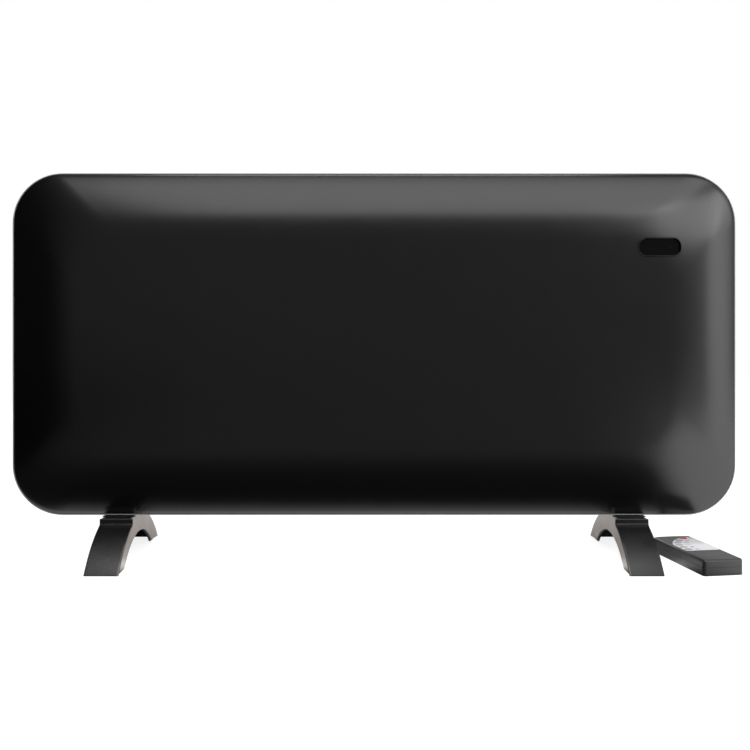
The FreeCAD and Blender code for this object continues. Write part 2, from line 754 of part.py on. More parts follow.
def side_wall_openings(body):
    """The switch and the gland in the right wall, and a notch in each side wall, which lets the case slide
    on over a screw that is already started."""
    side = new_sketch(body, "YZ_Plane", case_right + d.overrun)
    long, wide = d.switch_length / 2 + d.fit_gap, d.switch_width / 2 + d.fit_gap
    draw_box(side, -wide, switch_up - long, wide, switch_up + long)
    half = d.gland_barrel / 2 + d.fit_gap
    draw_box(side, -half, inlet_up - half, half, inlet_up + half)
    cut_checked(body, side, 2 * d.overrun + d.case_sheet)
    notches = new_sketch(body, "YZ_Plane", ZERO)
    half = d.case_screw / 2 + d.screw_gap / 2
    draw_box(notches, -frame_back - d.overrun, screw_up - half, screw_depth() + half, screw_up + half)
    cut_checked(body, notches, d.panel_width, both=True)


def draw_lug(sketch, middle, gap):
    """The lug that keeps a foot from turning on its bolt, grown by a gap."""
    half = d.lug_width / 2 + gap
    draw_box(sketch, middle - half, lug_back - d.lug_length - gap, middle + half, lug_back + gap)


def make_outlet_grille():
    """A frame dropped into the case top, crossed by thin vanes."""
    body = new_body("outlet_grille")
    middle = d.outlet_back
    half, deep = case_right - d.outlet_in, d.outlet_depth / 2
    flange = new_sketch(body, "XY_Plane", case_high)
    lip = d.grille_flange
    draw_box(flange, -half - lip, middle - deep - lip, half + lip, middle + deep + lip)
    extrude(body, "Pad", flange, d.grille_sheet)
    insert = new_sketch(body, "XY_Plane", case_high)
    across_half, deep_half = half - d.fit_gap, deep - d.fit_gap
    draw_box(insert, -across_half, middle - deep_half, across_half, middle + deep_half)
    extrude(body, "Pad", insert, d.grille_depth, back=True)
    row = (d.vane_count - 1) * d.vane_pitch / 2
    edge, wall = d.vane_slot / 2, d.grille_sheet + d.fit_gap
    slot = new_sketch(body, "XY_Plane", case_high + d.grille_sheet + d.overrun)
    draw_box(slot, -row - edge, middle - deep + wall, -row + edge, middle + deep - wall)
    first = cut_checked(body, slot, d.grille_sheet + d.grille_depth + 2 * d.overrun)
    repeat(body, first, "X_Axis", d.vane_pitch, d.vane_count)
    keep(body)


def leg_arc_middle():
    """Centre of the legs' outer arc, seen from the side: the arc runs from the toe to the lower corner of
    the block at the top."""
    toe = (d.foot_length.value / 2, d.pad_rise.value)
    corner = (d.collar_length.value / 2, collar_low.value)
    half = ((corner[0] - toe[0]) / 2, (corner[1] - toe[1]) / 2)
    reach = math.hypot(*half)
    drop = math.sqrt(d.foot_arc.value**2 - reach**2)
    across = (half[1] / reach, -half[0] / reach)
    return toe[0] + half[0] - across[0] * drop, toe[1] + half[1] - across[1] * drop


def skin_reach(up):
    """How far out the legs' inner arc stands at a height above the floor."""
    middle = leg_arc_middle()
    radius = d.foot_arc.value - d.foot_skin.value
    out = middle[0] + math.sqrt(radius**2 - (up.value - middle[1]) ** 2)
    return d.foot_length / 2 * (out / (d.foot_length.value / 2))


def skin_height(out):
    """How high the legs' inner arc stands, that far out from the foot's middle."""
    middle = leg_arc_middle()
    radius = d.foot_arc.value - d.foot_skin.value
    up = middle[1] + math.sqrt(radius**2 - (out.value - middle[0]) ** 2)
    return collar_low * (up / collar_low.value)


def arch_reach(low):
    """Half the arch's width at a height above the floor."""
    radius = arch_radius().value
    drop = radius - d.arch_rise.value
    share = math.sqrt(radius**2 - (drop + low.value) ** 2) / (d.arch_length.value / 2)
    return d.arch_length / 2 * share


def arch_radius():
    return (d.arch_length * d.arch_length / 4 + d.arch_rise * d.arch_rise) / (2 * d.arch_rise)


def make_foot(side, name):
    """An arched moulding, hollow from below. Its sides are recessed for the cheeks, and the front leg's
    face overhangs them."""
    middle = foot_right * side
    low = d.pad_rise
    body = new_body("foot_" + name)
    profile = new_sketch(body, "YZ_Plane", middle)
    toe, inner = d.foot_length / 2, arch_reach(low)
    collar, neck = d.collar_length / 2, d.neck_length / 2
    points = [
        (inner, low), (toe, low), (collar, collar_low), (collar, collar_top), (neck, collar_top),
        (neck, neck_top), (tenon_back, neck_top), (tenon_back, case_low), (-tenon_front, case_low),
        (-tenon_front, neck_top), (-neck, neck_top), (-neck, collar_top), (-collar, collar_top),
        (-collar, collar_low), (-toe, low), (-inner, low),
    ]
    arcs = {1: d.foot_arc, 13: d.foot_arc, 15: -arch_radius()}
    draw_outline(profile, points, arcs)
    extrude(body, "Pad", profile, d.foot_width, both=True)
    bevel_foot(body)
    for hand in (-1, 1):
        recess = new_sketch(body, "YZ_Plane", middle + d.foot_width / 2 * hand)
        draw_recess(recess, low)
        cut_checked(body, recess, d.cheek_recess, back=hand < 0)
    room = new_sketch(body, "YZ_Plane", middle)
    draw_room_in_foot(room)
    cut_checked(body, room, room_width(), both=True)
    lug = new_sketch(body, "XY_Plane", case_low)
    draw_lug(lug, middle, ZERO)
    extrude(body, "Pad", lug, d.lug_rise)
    hole = new_sketch(body, "XY_Plane", ZERO)
    draw_circle(hole, middle, ZERO, d.foot_bolt / 2 + d.screw_gap)
    cut_checked(body, hole, case_low + d.overrun, back=True)
    well = new_sketch(body, "XY_Plane", ZERO)
    half = d.bolt_flats / 2 + d.socket_room
    draw_box(well, middle - half, -half, middle + half, half)
    cut_checked(body, well, case_low - d.foot_floor, back=True)
    pockets = new_sketch(body, "XY_Plane", low)
    for end in (-1, 1):
        draw_pad(pockets, middle, end)
    cut_checked(body, pockets, d.pad_depth, back=True)
    keep(body)


def bevel_foot(body):
    """A bevel along both long edges of the legs' outer curve. The recesses take it off the rear leg."""
    toe, top = d.foot_length.value / 2, collar_low.value
    edges = edges_where(body, lambda e: is_skin_edge(e, toe, top))
    dress(body, "Chamfer", edges, d.foot_bevel)


def is_skin_edge(edge, toe, top):
    """An edge of the legs' outer curve, seen from the side."""
    if "Circle" not in edge.Curve.TypeId:
        return False
    ends = [abs(v.Y) for v in edge.Vertexes]
    return max(ends) > toe * SKIN_END_SHARE and max(v.Z for v in edge.Vertexes) > top - d.hair.value


def cheek_front(low):
    """The cheek's edge behind the front of the foot, from the neck's top down to the toe."""
    neck, collar = d.neck_length / 2 - d.cheek_lip, d.collar_length / 2 - d.cheek_lip
    return [(-neck, neck_top), (-neck, collar_top), (-collar, collar_top), (-collar, skin_height(collar)),
            (-skin_reach(low), low)]


def draw_recess(sketch, low):
    """The recess for a cheek, which runs off the arch, the floor and the back of the foot."""
    behind = d.foot_length / 2 + d.overrun
    points = [(behind, low), (behind, neck_top)] + cheek_front(low)
    draw_outline(sketch, points, {5: d.foot_arc - d.foot_skin})


def draw_cheek(sketch, low):
    """The side cheek's outline: its rear edge is the foot's own."""
    inner, toe = arch_reach(low), d.foot_length / 2
    collar, neck = d.collar_length / 2, d.neck_length / 2
    rear = [(inner, low), (toe, low), (collar, collar_low), (collar, collar_top), (neck, collar_top),
            (neck, neck_top)]
    arcs = {1: d.foot_arc, 9: d.foot_arc - d.foot_skin, 11: -arch_radius()}
    draw_outline(sketch, rear + cheek_front(low) + [(-inner, low)], arcs)


def room_width():
    """The foot's hollow, side to side."""
    return d.foot_width - 2 * (d.cheek_recess + d.foot_web)


def draw_room_in_foot(sketch):
    """The hollow between the side walls, seen from the side: a bar is left in each toe."""
    bar = d.foot_length / 2 - d.toe_bar
    shoulder, corner = skin_height(bar), skin_reach(d.foot_roof)
    points = [(bar, ZERO), (bar, shoulder), (corner, d.foot_roof), (-corner, d.foot_roof), (-bar, shoulder),
              (-bar, ZERO)]
    draw_outline(sketch, points, {1: d.foot_arc - d.foot_skin, 3: d.foot_arc - d.foot_skin})


def draw_pad(sketch, middle, end):
    """A rubber pad's outline under the bar in one toe."""
    inner = d.foot_length / 2 - d.toe_bar + d.pad_margin
    outer = inner + d.pad_length
    half = room_width() / 2 - d.pad_margin
    low, high = (inner, outer) if end > 0 else (-outer, -inner)
    draw_box(sketch, middle - half, low, middle + half, high)


def make_foot_cheeks(side, name):
    body_list = []
    for hand in (-1, 1):
        body = new_body("cheek")
        face = d.foot_width / 2 - d.cheek_recess
        sketch = new_sketch(body, "YZ_Plane", foot_right * side + face * hand)
        draw_cheek(sketch, d.pad_rise)
        extrude(body, "Pad", sketch, d.cheek_sheet, back=hand < 0)
        body_list.append(body)
    keep(group(body_list, "foot_cheeks_" + name))


def make_foot_pads():
    pads = []
    for side in (-1, 1):
        for end in (-1, 1):
            body = new_body("pad")
            sketch = new_sketch(body, "XY_Plane", ZERO)
            draw_pad(sketch, foot_right * side, end)
            extrude(body, "Pad", sketch, d.pad_rise + d.pad_depth)
            pads.append(body)
    keep(group(pads, "foot_pads"))


def make_foot_screws():
    """One bolt up through each foot and the case bottom, into a square nut welded inside the case."""
    bolts, nuts = [], []
    seat = case_low - d.foot_floor
    top = case_low + d.case_sheet
    half = d.nut_side / 2
    for side in (-1, 1):
        x = foot_right * side
        shank = rod("Z", (x, ZERO, seat), d.foot_bolt / 2, d.foot_floor + d.case_sheet + d.nut_height)
        head = hexagon("Z", (x, ZERO, seat - d.bolt_head), d.bolt_flats, d.bolt_head)
        bolts.append(fuse([shank, head], "foot_bolt"))
        nut = block((x - half, -half, top), (x + half, half, top + d.nut_height))
        thread = rod("Z", (x, ZERO, top - d.overrun), d.foot_bolt / 2 + d.running_gap,
                     d.nut_height + 2 * d.overrun)
        nuts.append(cut(nut, [thread], "foot_nut"))
    keep(group(bolts, "foot_screws"))
    keep(group(nuts, "foot_nuts"))


def make_case_screws():
    """One screw in each side wall; the case's top and bottom are held by the frame's flanges."""
    screws = []
    for side in (-1, 1):
        outside = case_right * side
        inward = outside - d.case_screw_length * side
        outward = outside + d.screw_head * side
        low, high = (inward, outside) if side > 0 else (outside, inward)
        head_low = outside if side > 0 else outward
        shank = rod("X", (low, screw_depth(), screw_up), d.case_screw / 2, high - low)
        head = hexagon("X", (head_low, screw_depth(), screw_up), d.screw_flats, d.screw_head)
        screws.append(fuse([shank, head], "case_screw"))
    keep(group(screws, "case_screws"))


def make_bracket_nuts():
    """Square nuts welded behind the raised field, for a wall bracket."""
    nuts = []
    front = field_back - d.case_sheet - d.nut_height
    half = d.nut_side / 2
    for side in (-1, 1):
        x = d.bracket_span / 2 * side
        nut = block((x - half, front, bracket_up - half), (x + half, front + d.nut_height, bracket_up + half))
        thread = rod("Y", (x, front - d.overrun, bracket_up), d.bracket_bore / 2,
                     d.nut_height + 2 * d.overrun)
        nuts.append(cut(nut, [thread], "bracket_nut"))
    keep(group(nuts, "bracket_nuts"))


def make_display():
    """The bezel takes the dome's own curve at its front; the smoked window is bonded flat inside it."""
    ring = new_body("bezel_ring")
    sketch = new_sketch(ring, "XZ_Plane", bezel_back)
    draw_window(sketch, ZERO)
    draw_window(sketch, d.bezel_wall)
    extrude(ring, "Pad", sketch, d.bezel_depth + d.dome_height)
    keep(common(ring, dome_form("bezel_face", ZERO, d.bezel_proud), "display_bezel"))
    pane = new_body("display_window")
    sketch = new_sketch(pane, "XZ_Plane", window_back)
    draw_window(sketch, d.bezel_wall + d.fit_gap)
    extrude(pane, "Pad", sketch, d.window_sheet)
    keep(pane)
    half_width, half_height = d.window_width / 2 + d.board_margin, d.window_height / 2 + d.board_margin
    low = (window_right - half_width, -bezel_back, window_up - half_height)
    high = (window_right + half_width, -bezel_back + d.board_sheet, window_up + half_height)
    board = block(low, high)
    board.Label = "display_board"
    keep(board)
    make_receiver()
    out = window_right - d.digits_out
    width, height = d.digits_width / 2, d.digits_height / 2
    digits = block((out - width, -window_back + d.fit_gap, window_up - height),
                   (out + width, -bezel_back, window_up + height))
    digits.Label = "display_digits"
    keep(digits)


def make_receiver():
    """The infrared receiver: a small block with a round lens that looks through the window."""
    out = window_right + d.receiver_out
    wide, tall = d.receiver_width / 2, d.receiver_height / 2
    front = -window_back + d.fit_gap
    shoulder = front + d.receiver_lens / 2
    case = block((out - wide, shoulder, window_up - tall), (out + wide, -bezel_back, window_up + tall))
    lens = rod("Y", (out, front, window_up), d.receiver_lens, d.receiver_lens)
    keep(fuse([case, lens], "ir_receiver"))


def common(one, two, label):
    thing = doc.addObject("Part::MultiCommon", label)
    thing.Shapes = [one, two]
    thing.Label = label
    return thing


def make_heat_shield():
    """A folded channel round the element, open to the back of the case."""
    body = new_body("heat_shield")
    sketch = new_sketch(body, "XY_Plane", shield_low)
    half, thin = shield_right, d.shield_sheet
    front = -d.shield_front
    points = [(-half, case_inside), (-half, front), (half, front), (half, case_inside),
              (half - thin, case_inside), (half - thin, front + thin), (-half + thin, front + thin),
              (-half + thin, case_inside)]
    draw_outline(sketch, points)
    extrude(body, "Pad", sketch, d.shield_height)
    holes = new_sketch(body, "YZ_Plane", ZERO)
    draw_element_end(holes, d.bush_barrel + 2 * d.fit_gap)
    cut_checked(body, holes, 2 * (shield_right + d.overrun), both=True)
    keep(body)


def draw_element_end(sketch, side):
    """A square about the element's axis, seen from the heater's side."""
    draw_box(sketch, d.element_back - side / 2, element_up - side / 2, d.element_back + side / 2,
             element_up + side / 2)


def make_element():
    """A bar inside an aluminium extrusion of four arms, whose edges are cut into fingers."""
    body = new_body("heating_element")
    arms = new_sketch(body, "YZ_Plane", -element_right)
    draw_arms(arms)
    extrude(body, "Pad", arms, 2 * element_right)
    bar = new_sketch(body, "YZ_Plane", -shield_right)
    draw_element_end(bar, d.element_bar)
    extrude(body, "Pad", bar, 2 * shield_right)
    row = (d.fin_cut_count - 1) * d.fin_pitch / 2
    gap = new_sketch(body, "XZ_Plane", ZERO)
    edge = d.fin_cut / 2
    outer, inner = d.fin_reach + d.overrun, d.fin_reach / 2
    draw_box(gap, -row - edge, element_up + inner, -row + edge, element_up + outer)
    draw_box(gap, -row - edge, element_up - outer, -row + edge, element_up - inner)
    first = cut_checked(body, gap, 2 * (case_inside + d.shield_front), both=True)
    repeat(body, first, "X_Axis", d.fin_pitch, d.fin_cut_count)
    keep(body)


def draw_arms(sketch):
    """The extrusion's section: four thin arms, each leaning the same way off upright."""
    lean = math.radians(d.fin_lean.value)
    reach, thin = d.fin_reach, d.fin_sheet / 2
    points = []
    for turn in (lean, math.pi - lean, math.pi + lean, -lean):
        across, along = math.sin(turn), math.cos(turn)
        tip = [(reach * across - thin * along, reach * along + thin * across),
               (reach * across + thin * along, reach * along - thin * across)]
        following = {lean: math.pi - lean, math.pi - lean: math.pi + lean,
                     math.pi + lean: 2 * math.pi - lean, -lean: lean}[turn]
        start = 2 * math.pi - lean if turn == -lean else turn
        if turn == -lean:
            following = 2 * math.pi + lean
        between = (start + following) / 2
        valley = thin / math.sin((following - start) / 2)
        points += tip + [(valley * math.sin(between), valley * math.cos(between))]
    draw_outline(sketch, [(d.element_back + y, element_up + z) for y, z in points])


def make_element_ends():
    """Square ceramic bushes in the shield's sides carry the element; a tab at each end takes a wire."""
    tabs = []
    for side, name in ((-1, "left"), (1, "right")):
        wall = (shield_right - d.shield_sheet) * side
        inner = wall - d.bush_length * BUSH_FLANGE_SHARE * side
        outer = wall + d.bush_length * (1 - BUSH_FLANGE_SHARE) * side
        flange = square_bar(wall, inner, d.bush_flange)
        barrel = square_bar(wall, outer, d.bush_barrel)
        bore = square_bar(wall - d.bush_length * side, wall + d.bush_length * side,
                          d.element_bar + 2 * d.running_gap)
        keep(cut(fuse([flange, barrel]), [bore], "element_bush_" + name))
        end = shield_right * side
        low, high = sorted((end, end + d.tab_length * side), key=lambda size: size.value)
        tabs.append(block((low, d.element_back - d.tab_sheet / 2, element_up - d.tab_width / 2),
                          (high, d.element_back + d.tab_sheet / 2, element_up + d.tab_width / 2)))
    keep(group(tabs, "element_tabs"))


def square_bar(start, end, side):
    """A square bar along the element's axis, between two places across the heater."""
    low, high = sorted((start, end), key=lambda size: size.value)
    half = side / 2
    return block((low, d.element_back - half, element_up - half),
                 (high, d.element_back + half, element_up + half))


def make_thermal_cutout():
    """A bimetal switch on the inside of the shield, over the element."""
    up = shield_low + d.shield_height - d.cutout_flange
    front = -d.shield_front + d.shield_sheet
    half, wide = d.cutout_side / 2, d.cutout_width / 2
    flange = block((-d.cutout_flange / 2, front, up - half),
                   (d.cutout_flange / 2, front + d.shield_sheet, up + half))
    body = block((-wide, front, up - half), (wide, front + d.cutout_height, up + half))
    keep(fuse([flange, body], "thermal_cutout"))


def make_electronics():
    low = (board_right - d.board_width / 2, board_up - d.board_height / 2)
    high = (board_right + d.board_width / 2, board_up + d.board_height / 2)
    back = case_inside - d.standoff_height
    front = back - d.board_sheet
    board = block((low[0], front, low[1]), (high[0], back, high[1]))
    board.Label = "control_board"
    keep(board)
    inset, half = d.standoff_side, d.standoff_side / 2
    corners = [(x, z) for x in (low[0] + inset, high[0] - inset) for z in (low[1] + inset, high[1] - inset)]
    pillars = [block((x - half, back, z - half), (x + half, case_inside, z + half)) for x, z in corners]
    keep(group(pillars, "board_pillars"))
    relays = []
    gap = d.relay_width / 2
    for side in (-1, 1):
        left = board_right + (gap if side > 0 else -gap - d.relay_width)
        bottom = board_up - d.relay_length
        relays.append(block((left, front - d.relay_height, bottom),
                            (left + d.relay_width, front, bottom + d.relay_length)))
    keep(group(relays, "heat_relays"))
    supply = block((low[0] + inset, front - d.supply_height, board_up + gap),
                   (low[0] + inset + d.supply_side, front, board_up + gap + d.supply_side))
    supply.Label = "board_transformer"
    keep(supply)
    make_terminal_block(front, low[1] + inset)
    make_ribbon(front)


def make_terminal_block(front, low):
    body = new_body("terminal_block")
    left = board_right - d.block_width / 2
    sketch = new_sketch(body, "XZ_Plane", -front)
    draw_box(sketch, left, low, left + d.block_width, low + d.block_height)
    extrude(body, "Pad", sketch, d.block_depth)
    way = d.block_width / d.block_ways
    entry = new_sketch(body, "XY_Plane", low)
    near, far = WAY_SHARES
    draw_box(entry, left + way * near, front - d.block_depth * far,
             left + way * far, front - d.block_depth * near)
    first = cut_checked(body, entry, d.block_height / 2, back=True)
    repeat(body, first, "X_Axis", way, d.block_ways)
    keep(body)


def make_ribbon(board_front):
    """A flat cable from the back of the display board down to the control board."""
    body = new_body("ribbon_cable")
    sketch = new_sketch(body, "YZ_Plane", window_right)
    thin = d.ribbon_sheet
    top = window_up
    start = -bezel_back + d.board_sheet
    upper = top - d.window_height - d.board_margin * 2
    lower = board_up + d.board_height / 2
    landing = lower - d.ribbon_width
    points = [(start, top), (start, upper), (board_front - thin, lower), (board_front - thin, landing),
              (board_front, landing), (board_front, lower + thin), (start + thin, upper + thin),
              (start + thin, top)]
    draw_outline(sketch, points)
    extrude(body, "Pad", sketch, d.ribbon_width, both=True)
    keep(body)


def make_mains_switch():
    body = new_body("mains_switch")
    long, wide = d.switch_length / 2, d.switch_width / 2
    flange = new_sketch(body, "YZ_Plane", case_right)
    lip = d.switch_flange
    draw_box(flange, -wide - lip, switch_up - long - lip, wide + lip, switch_up + long + lip)
    extrude(body, "Pad", flange, d.switch_lip)
    housing = new_sketch(body, "YZ_Plane", case_right)
    draw_box(housing, -wide, switch_up - long, wide, switch_up + long)
    extrude(body, "Pad", housing, d.switch_depth, back=True)
    well = new_sketch(body, "YZ_Plane", case_right + d.switch_lip + d.overrun)
    half, side = d.rocker_slot / 2, d.rocker_width / 2 + d.fit_gap
    draw_box(well, -side, switch_up - half, side, switch_up + half)
    cut_checked(body, well, d.switch_lip + d.overrun + d.well_depth)
    pin = new_sketch(body, "XZ_Plane", ZERO)
    draw_circle(pin, case_right - d.rocker_pivot, switch_up, d.rocker_pin / 2 + d.running_gap)
    cut_checked(body, pin, pin_length() + 2 * d.fit_gap, both=True)
    keep(body)
    make_rocker()


def pin_length():
    """The rocker's pin reaches half way into each side wall of its housing."""
    return (d.switch_width + d.rocker_width) / 2


def make_rocker():
    """A dished rocker on its pin, leaning to its off side."""
    body = new_body("switch_rocker")
    sketch = new_sketch(body, "XZ_Plane", ZERO)
    tip = d.rocker_length / 2
    out = d.rocker_pivot + d.switch_lip
    root, root_reach = -out * ROCKER_SHARES["root"], tip * ROCKER_SHARES["root_reach"]
    waist, waist_reach = out * ROCKER_SHARES["waist"], tip * ROCKER_SHARES["waist_reach"]
    face, dish = out * ROCKER_SHARES["tip"], out * ROCKER_SHARES["dish"]
    points = [(root, -root_reach), (waist, -waist_reach), (face, -tip), (dish, ZERO), (face, tip),
              (waist, waist_reach), (root, root_reach)]
    draw_outline(sketch, points)
    extrude(body, "Pad", sketch, d.rocker_width, both=True)
    pin = new_sketch(body, "XZ_Plane", ZERO)
    draw_circle(pin, ZERO, ZERO, d.rocker_pin / 2)
    extrude(body, "Pad", pin, pin_length(), both=True)
    place_body(body, case_right - d.rocker_pivot, ZERO, switch_up, (0, 1, 0), -d.rocker_tilt)
    keep(body)


def place_body(body, x, y, z, axis, turn):
    """Turns a finished body about its own origin and puts that origin in place."""
    body.Placement = FreeCAD.Placement(FreeCAD.Vector(), FreeCAD.Rotation(FreeCAD.Vector(*axis), turn.value))
    bind(body, "Placement.Rotation.Angle", turn)
    for name, size in zip("xyz", (x, y, z)):
        bind(body, "Placement.Base." + name, size)
    doc.recompute()


def make_gland():
    """A square bush clipped into the right wall, with a bore for the mains cable."""
    body = new_body("cable_gland")
    flange = new_sketch(body, "YZ_Plane", case_right)
    draw_gland(flange, d.gland_flange)
    extrude(body, "Pad", flange, d.gland_lip)
    barrel = new_sketch(body, "YZ_Plane", case_right)
    draw_gland(barrel, d.gland_barrel)
    extrude(body, "Pad", barrel, d.gland_depth, back=True)
    bore = new_sketch(body, "YZ_Plane", case_right + d.gland_lip + d.overrun)
    draw_circle(bore, ZERO, inlet_up, d.gland_bore / 2)
    cut_checked(body, bore, d.gland_lip + d.gland_depth + 2 * d.overrun)
    keep(body)


def draw_gland(sketch, side):
    draw_box(sketch, -side / 2, inlet_up - side / 2, side / 2, inlet_up + side / 2)


def make_tip_switch():
    """A pendulum on a pin between two cheeks: it swings and opens the circuit when the heater tips."""
    left, back, up = d.tip_in - case_right, d.tip_back, case_low + d.tip_rise
    half, thin = d.tip_width / 2, d.tip_sheet
    base = block((left - half, case_inside - thin, up - d.tip_height / 2),
                 (left + half, case_inside, up + d.tip_height / 2))
    tall = d.tip_height / 4
    cheeks = [block((start, back - d.tip_hub / 2, up - tall), (start + thin, case_inside - thin, up + tall))
              for start in (left - half, left + half - thin)]
    pin = rod("X", (left - half, back, up), d.tip_pin / 2, d.tip_width)
    keep(fuse([base] + cheeks + [pin], "tip_bracket"))
    hub_length = d.tip_width - 2 * thin - 2 * d.fit_gap
    side = d.tip_hub / 2
    hub = block((left - hub_length / 2, back - side, up - side),
                (left + hub_length / 2, back + side, up + side))
    thick = d.tip_pin / 2
    stem = block((left - thick, back - thick, up - d.tip_arm), (left + thick, back + thick, up))
    wide, tall = d.tip_weight / 2, d.tip_weight_length / 2
    weight = block((left - wide, back - wide, up - d.tip_arm - tall),
                   (left + wide, back + wide, up - d.tip_arm + tall))
    bore = rod("X", (left - d.tip_width, back, up), d.tip_pin / 2 + d.running_gap, 2 * d.tip_width)
    keep(cut(fuse([hub, stem, weight]), [bore], "tip_pendulum"))


def make_room_sensor():
    """A sensor in a clip on the case bottom, in the cool air by the left foot."""
    left = -foot_right - d.foot_width
    half, thin = d.sensor_side / 2, d.sensor_side / 4
    floor = case_low + d.case_sheet
    clip = block((left - half, -half, floor), (left + half, half, floor + d.sensor_height / 2))
    bead = block((left - thin, -thin, floor), (left + thin, thin, floor + d.sensor_height))
    keep(fuse([clip, bead], "room_sensor"))


# The remote is drawn face up about its own middle, with its head along +Y, and then laid on the floor


def lay_remote(body):
    place_body(body, foot_right + d.remote_out, -d.remote_ahead, ZERO, (0, 0, 1), d.remote_turn)


def across(share):
    """A place across the remote from its left edge, as a share of its width."""
    return d.remote_width * share - d.remote_width / 2


def along(share):
    """A place along the remote from its head, as a share of its length."""
    return d.remote_length / 2 - d.remote_length * share


def draw_remote(sketch, inset):
    """The remote's outline from above, drawn in by an inset: square tail, bowed head."""
    half, tail = d.remote_width / 2 - inset, -d.remote_length / 2 + inset
    shoulder = d.remote_length / 2 - inset - d.remote_bow
    round_off = d.remote_corner - inset if d.remote_corner.value > inset.value else d.fit_gap
    span = half - round_off
    bow = (span * span + d.remote_bow * d.remote_bow) / (2 * d.remote_bow)
    points = [(-span, tail), (span, tail), (half, tail + round_off), (half, shoulder - round_off),
              (span, shoulder), (-span, shoulder), (-half, shoulder - round_off), (-half, tail + round_off)]
    draw_outline(sketch, points, {1: round_off, 3: round_off, 4: bow, 5: round_off, 7: round_off})


def draw_room(sketch):
    """The space inside the remote's walls."""
    half, wall = d.remote_width / 2 - d.remote_wall, d.remote_wall
    draw_box(sketch, -half, wall - d.remote_length / 2, half, d.remote_length / 2 - d.remote_bow - wall)


def make_remote_shells():
    base = new_body("remote_base")
    sketch = new_sketch(base, "XY_Plane", ZERO)
    draw_remote(sketch, ZERO)
    extrude(base, "Pad", sketch, d.remote_split)
    room = new_sketch(base, "XY_Plane", d.remote_wall)
    draw_room(room)
    cut_checked(base, room, d.remote_split, back=True)
    door = new_sketch(base, "XZ_Plane", d.remote_length / 2)
    half, tongue = d.door_width / 2, d.door_tongue
    middle, top = d.door_sheet / 2, d.door_sheet + d.fit_gap
    gap = d.fit_gap
    points = [(-half - gap, -d.overrun), (half + gap, -d.overrun), (half + gap, middle - gap),
              (half + tongue + gap, middle - gap), (half + tongue + gap, top), (-half - tongue - gap, top),
              (-half - tongue - gap, middle - gap), (-half - gap, middle - gap)]
    draw_outline(door, points)
    cut_checked(base, door, door_length() + gap)
    for place in (cell_end() + d.fit_gap, d.remote_length / 2 - 4 * d.remote_wall):
        rib = new_sketch(base, "XY_Plane", d.remote_wall)
        half = d.remote_width / 2 - d.remote_wall / 2
        draw_box(rib, -half, place, half, place + d.remote_wall / 2)
        extrude(base, "Pad", rib, d.remote_split - d.remote_wall)
    lay_remote(base)
    keep(base)
    make_battery_door()
    make_remote_cover()


def door_length():
    return d.cell_length + 3 * d.remote_wall


def cell_end():
    """Head end of the dry cells, which start at the tail wall."""
    return -d.remote_length / 2 + 2 * d.remote_wall + d.cell_length


def make_battery_door():
    body = new_body("battery_door")
    sketch = new_sketch(body, "XZ_Plane", d.remote_length / 2)
    half, tongue = d.door_width / 2, d.door_tongue
    middle, top = d.door_sheet / 2, d.door_sheet
    points = [(-half, ZERO), (half, ZERO), (half, middle), (half + tongue, middle), (half + tongue, top),
              (-half - tongue, top), (-half - tongue, middle), (-half, middle)]
    draw_outline(sketch, points)
    extrude(body, "Pad", sketch, door_length(), back=True)
    lay_remote(body)
    keep(body)


def make_remote_cover():
    body = new_body("remote_cover")
    sketch = new_sketch(body, "XY_Plane", d.remote_split)
    draw_remote(sketch, ZERO)
    extrude(body, "Pad", sketch, d.remote_height - d.remote_split)
    top = d.remote_height.value
    rim = edges_where(body, lambda e: all(abs(v.Z - top) < d.hair.value for v in e.Vertexes))
    dress(body, "Chamfer", rim, d.remote_bevel)
    room = new_sketch(body, "XY_Plane", d.remote_split)
    draw_room(room)
    cut_checked(body, room, d.remote_height - d.remote_split - d.remote_wall, back=True)
    recess = new_sketch(body, "XY_Plane", d.remote_height)
    draw_label(recess, ZERO)
    cut_checked(body, recess, d.label_depth)
    holes = new_sketch(body, "XY_Plane", d.remote_height)
    for place in KEY_PLACE_SHARES.values():
        draw_key(holes, place, d.key_gap)
    cut_checked(body, holes, 2 * d.remote_wall)
    window = new_sketch(body, "XZ_Plane", -d.remote_length / 2 - d.overrun)
    draw_emitter(window, d.fit_gap / 2)
    cut_checked(body, window, 2 * d.remote_wall + d.remote_bow + d.overrun, back=True)
    lay_remote(body)
    keep(body)


def draw_emitter(sketch, gap):
    """The emitter's outline in the remote's head, grown by a gap."""
    half, low = d.emitter_width / 2 + gap, board_top() + d.fit_gap
    draw_box(sketch, -half, low - gap, half, low + d.emitter_height + gap)


def draw_label(sketch, inset):
    """A light panel: straight at its right and foot, with a long curve up its left side."""
    right, left = across(LABEL_SHARES["right"]) - inset, across(LABEL_SHARES["left"]) + inset
    top, bottom = along(LABEL_SHARES["top"]) - inset, along(LABEL_SHARES["bottom"]) + inset
    shoulder, waist = across(LABEL_SHARES["shoulder"]), along(LABEL_SHARES["waist"])
    points = [(left, bottom), (right, bottom), (right, top), (shoulder, top), (left, waist)]
    arcs = {3: d.remote_length * LABEL_SHARES["shoulder_arc"]}
    draw_outline(sketch, points, arcs)


def draw_key(sketch, place, inset):
    """A key's outline: an oval of eight sides, grown by an inset."""
    x, y = across(place[0]), along(place[1])
    wide, tall = d.key_long / 2 + inset, d.key_short / 2 + inset
    corner = d.key_short * KEY_CORNER_SHARE + inset * BEVEL_SHARE
    points = [(x - wide + corner, y - tall), (x + wide - corner, y - tall), (x + wide, y - tall + corner),
              (x + wide, y + tall - corner), (x + wide - corner, y + tall), (x - wide + corner, y + tall),
              (x - wide, y + tall - corner), (x - wide, y - tall + corner)]
    draw_outline(sketch, points)


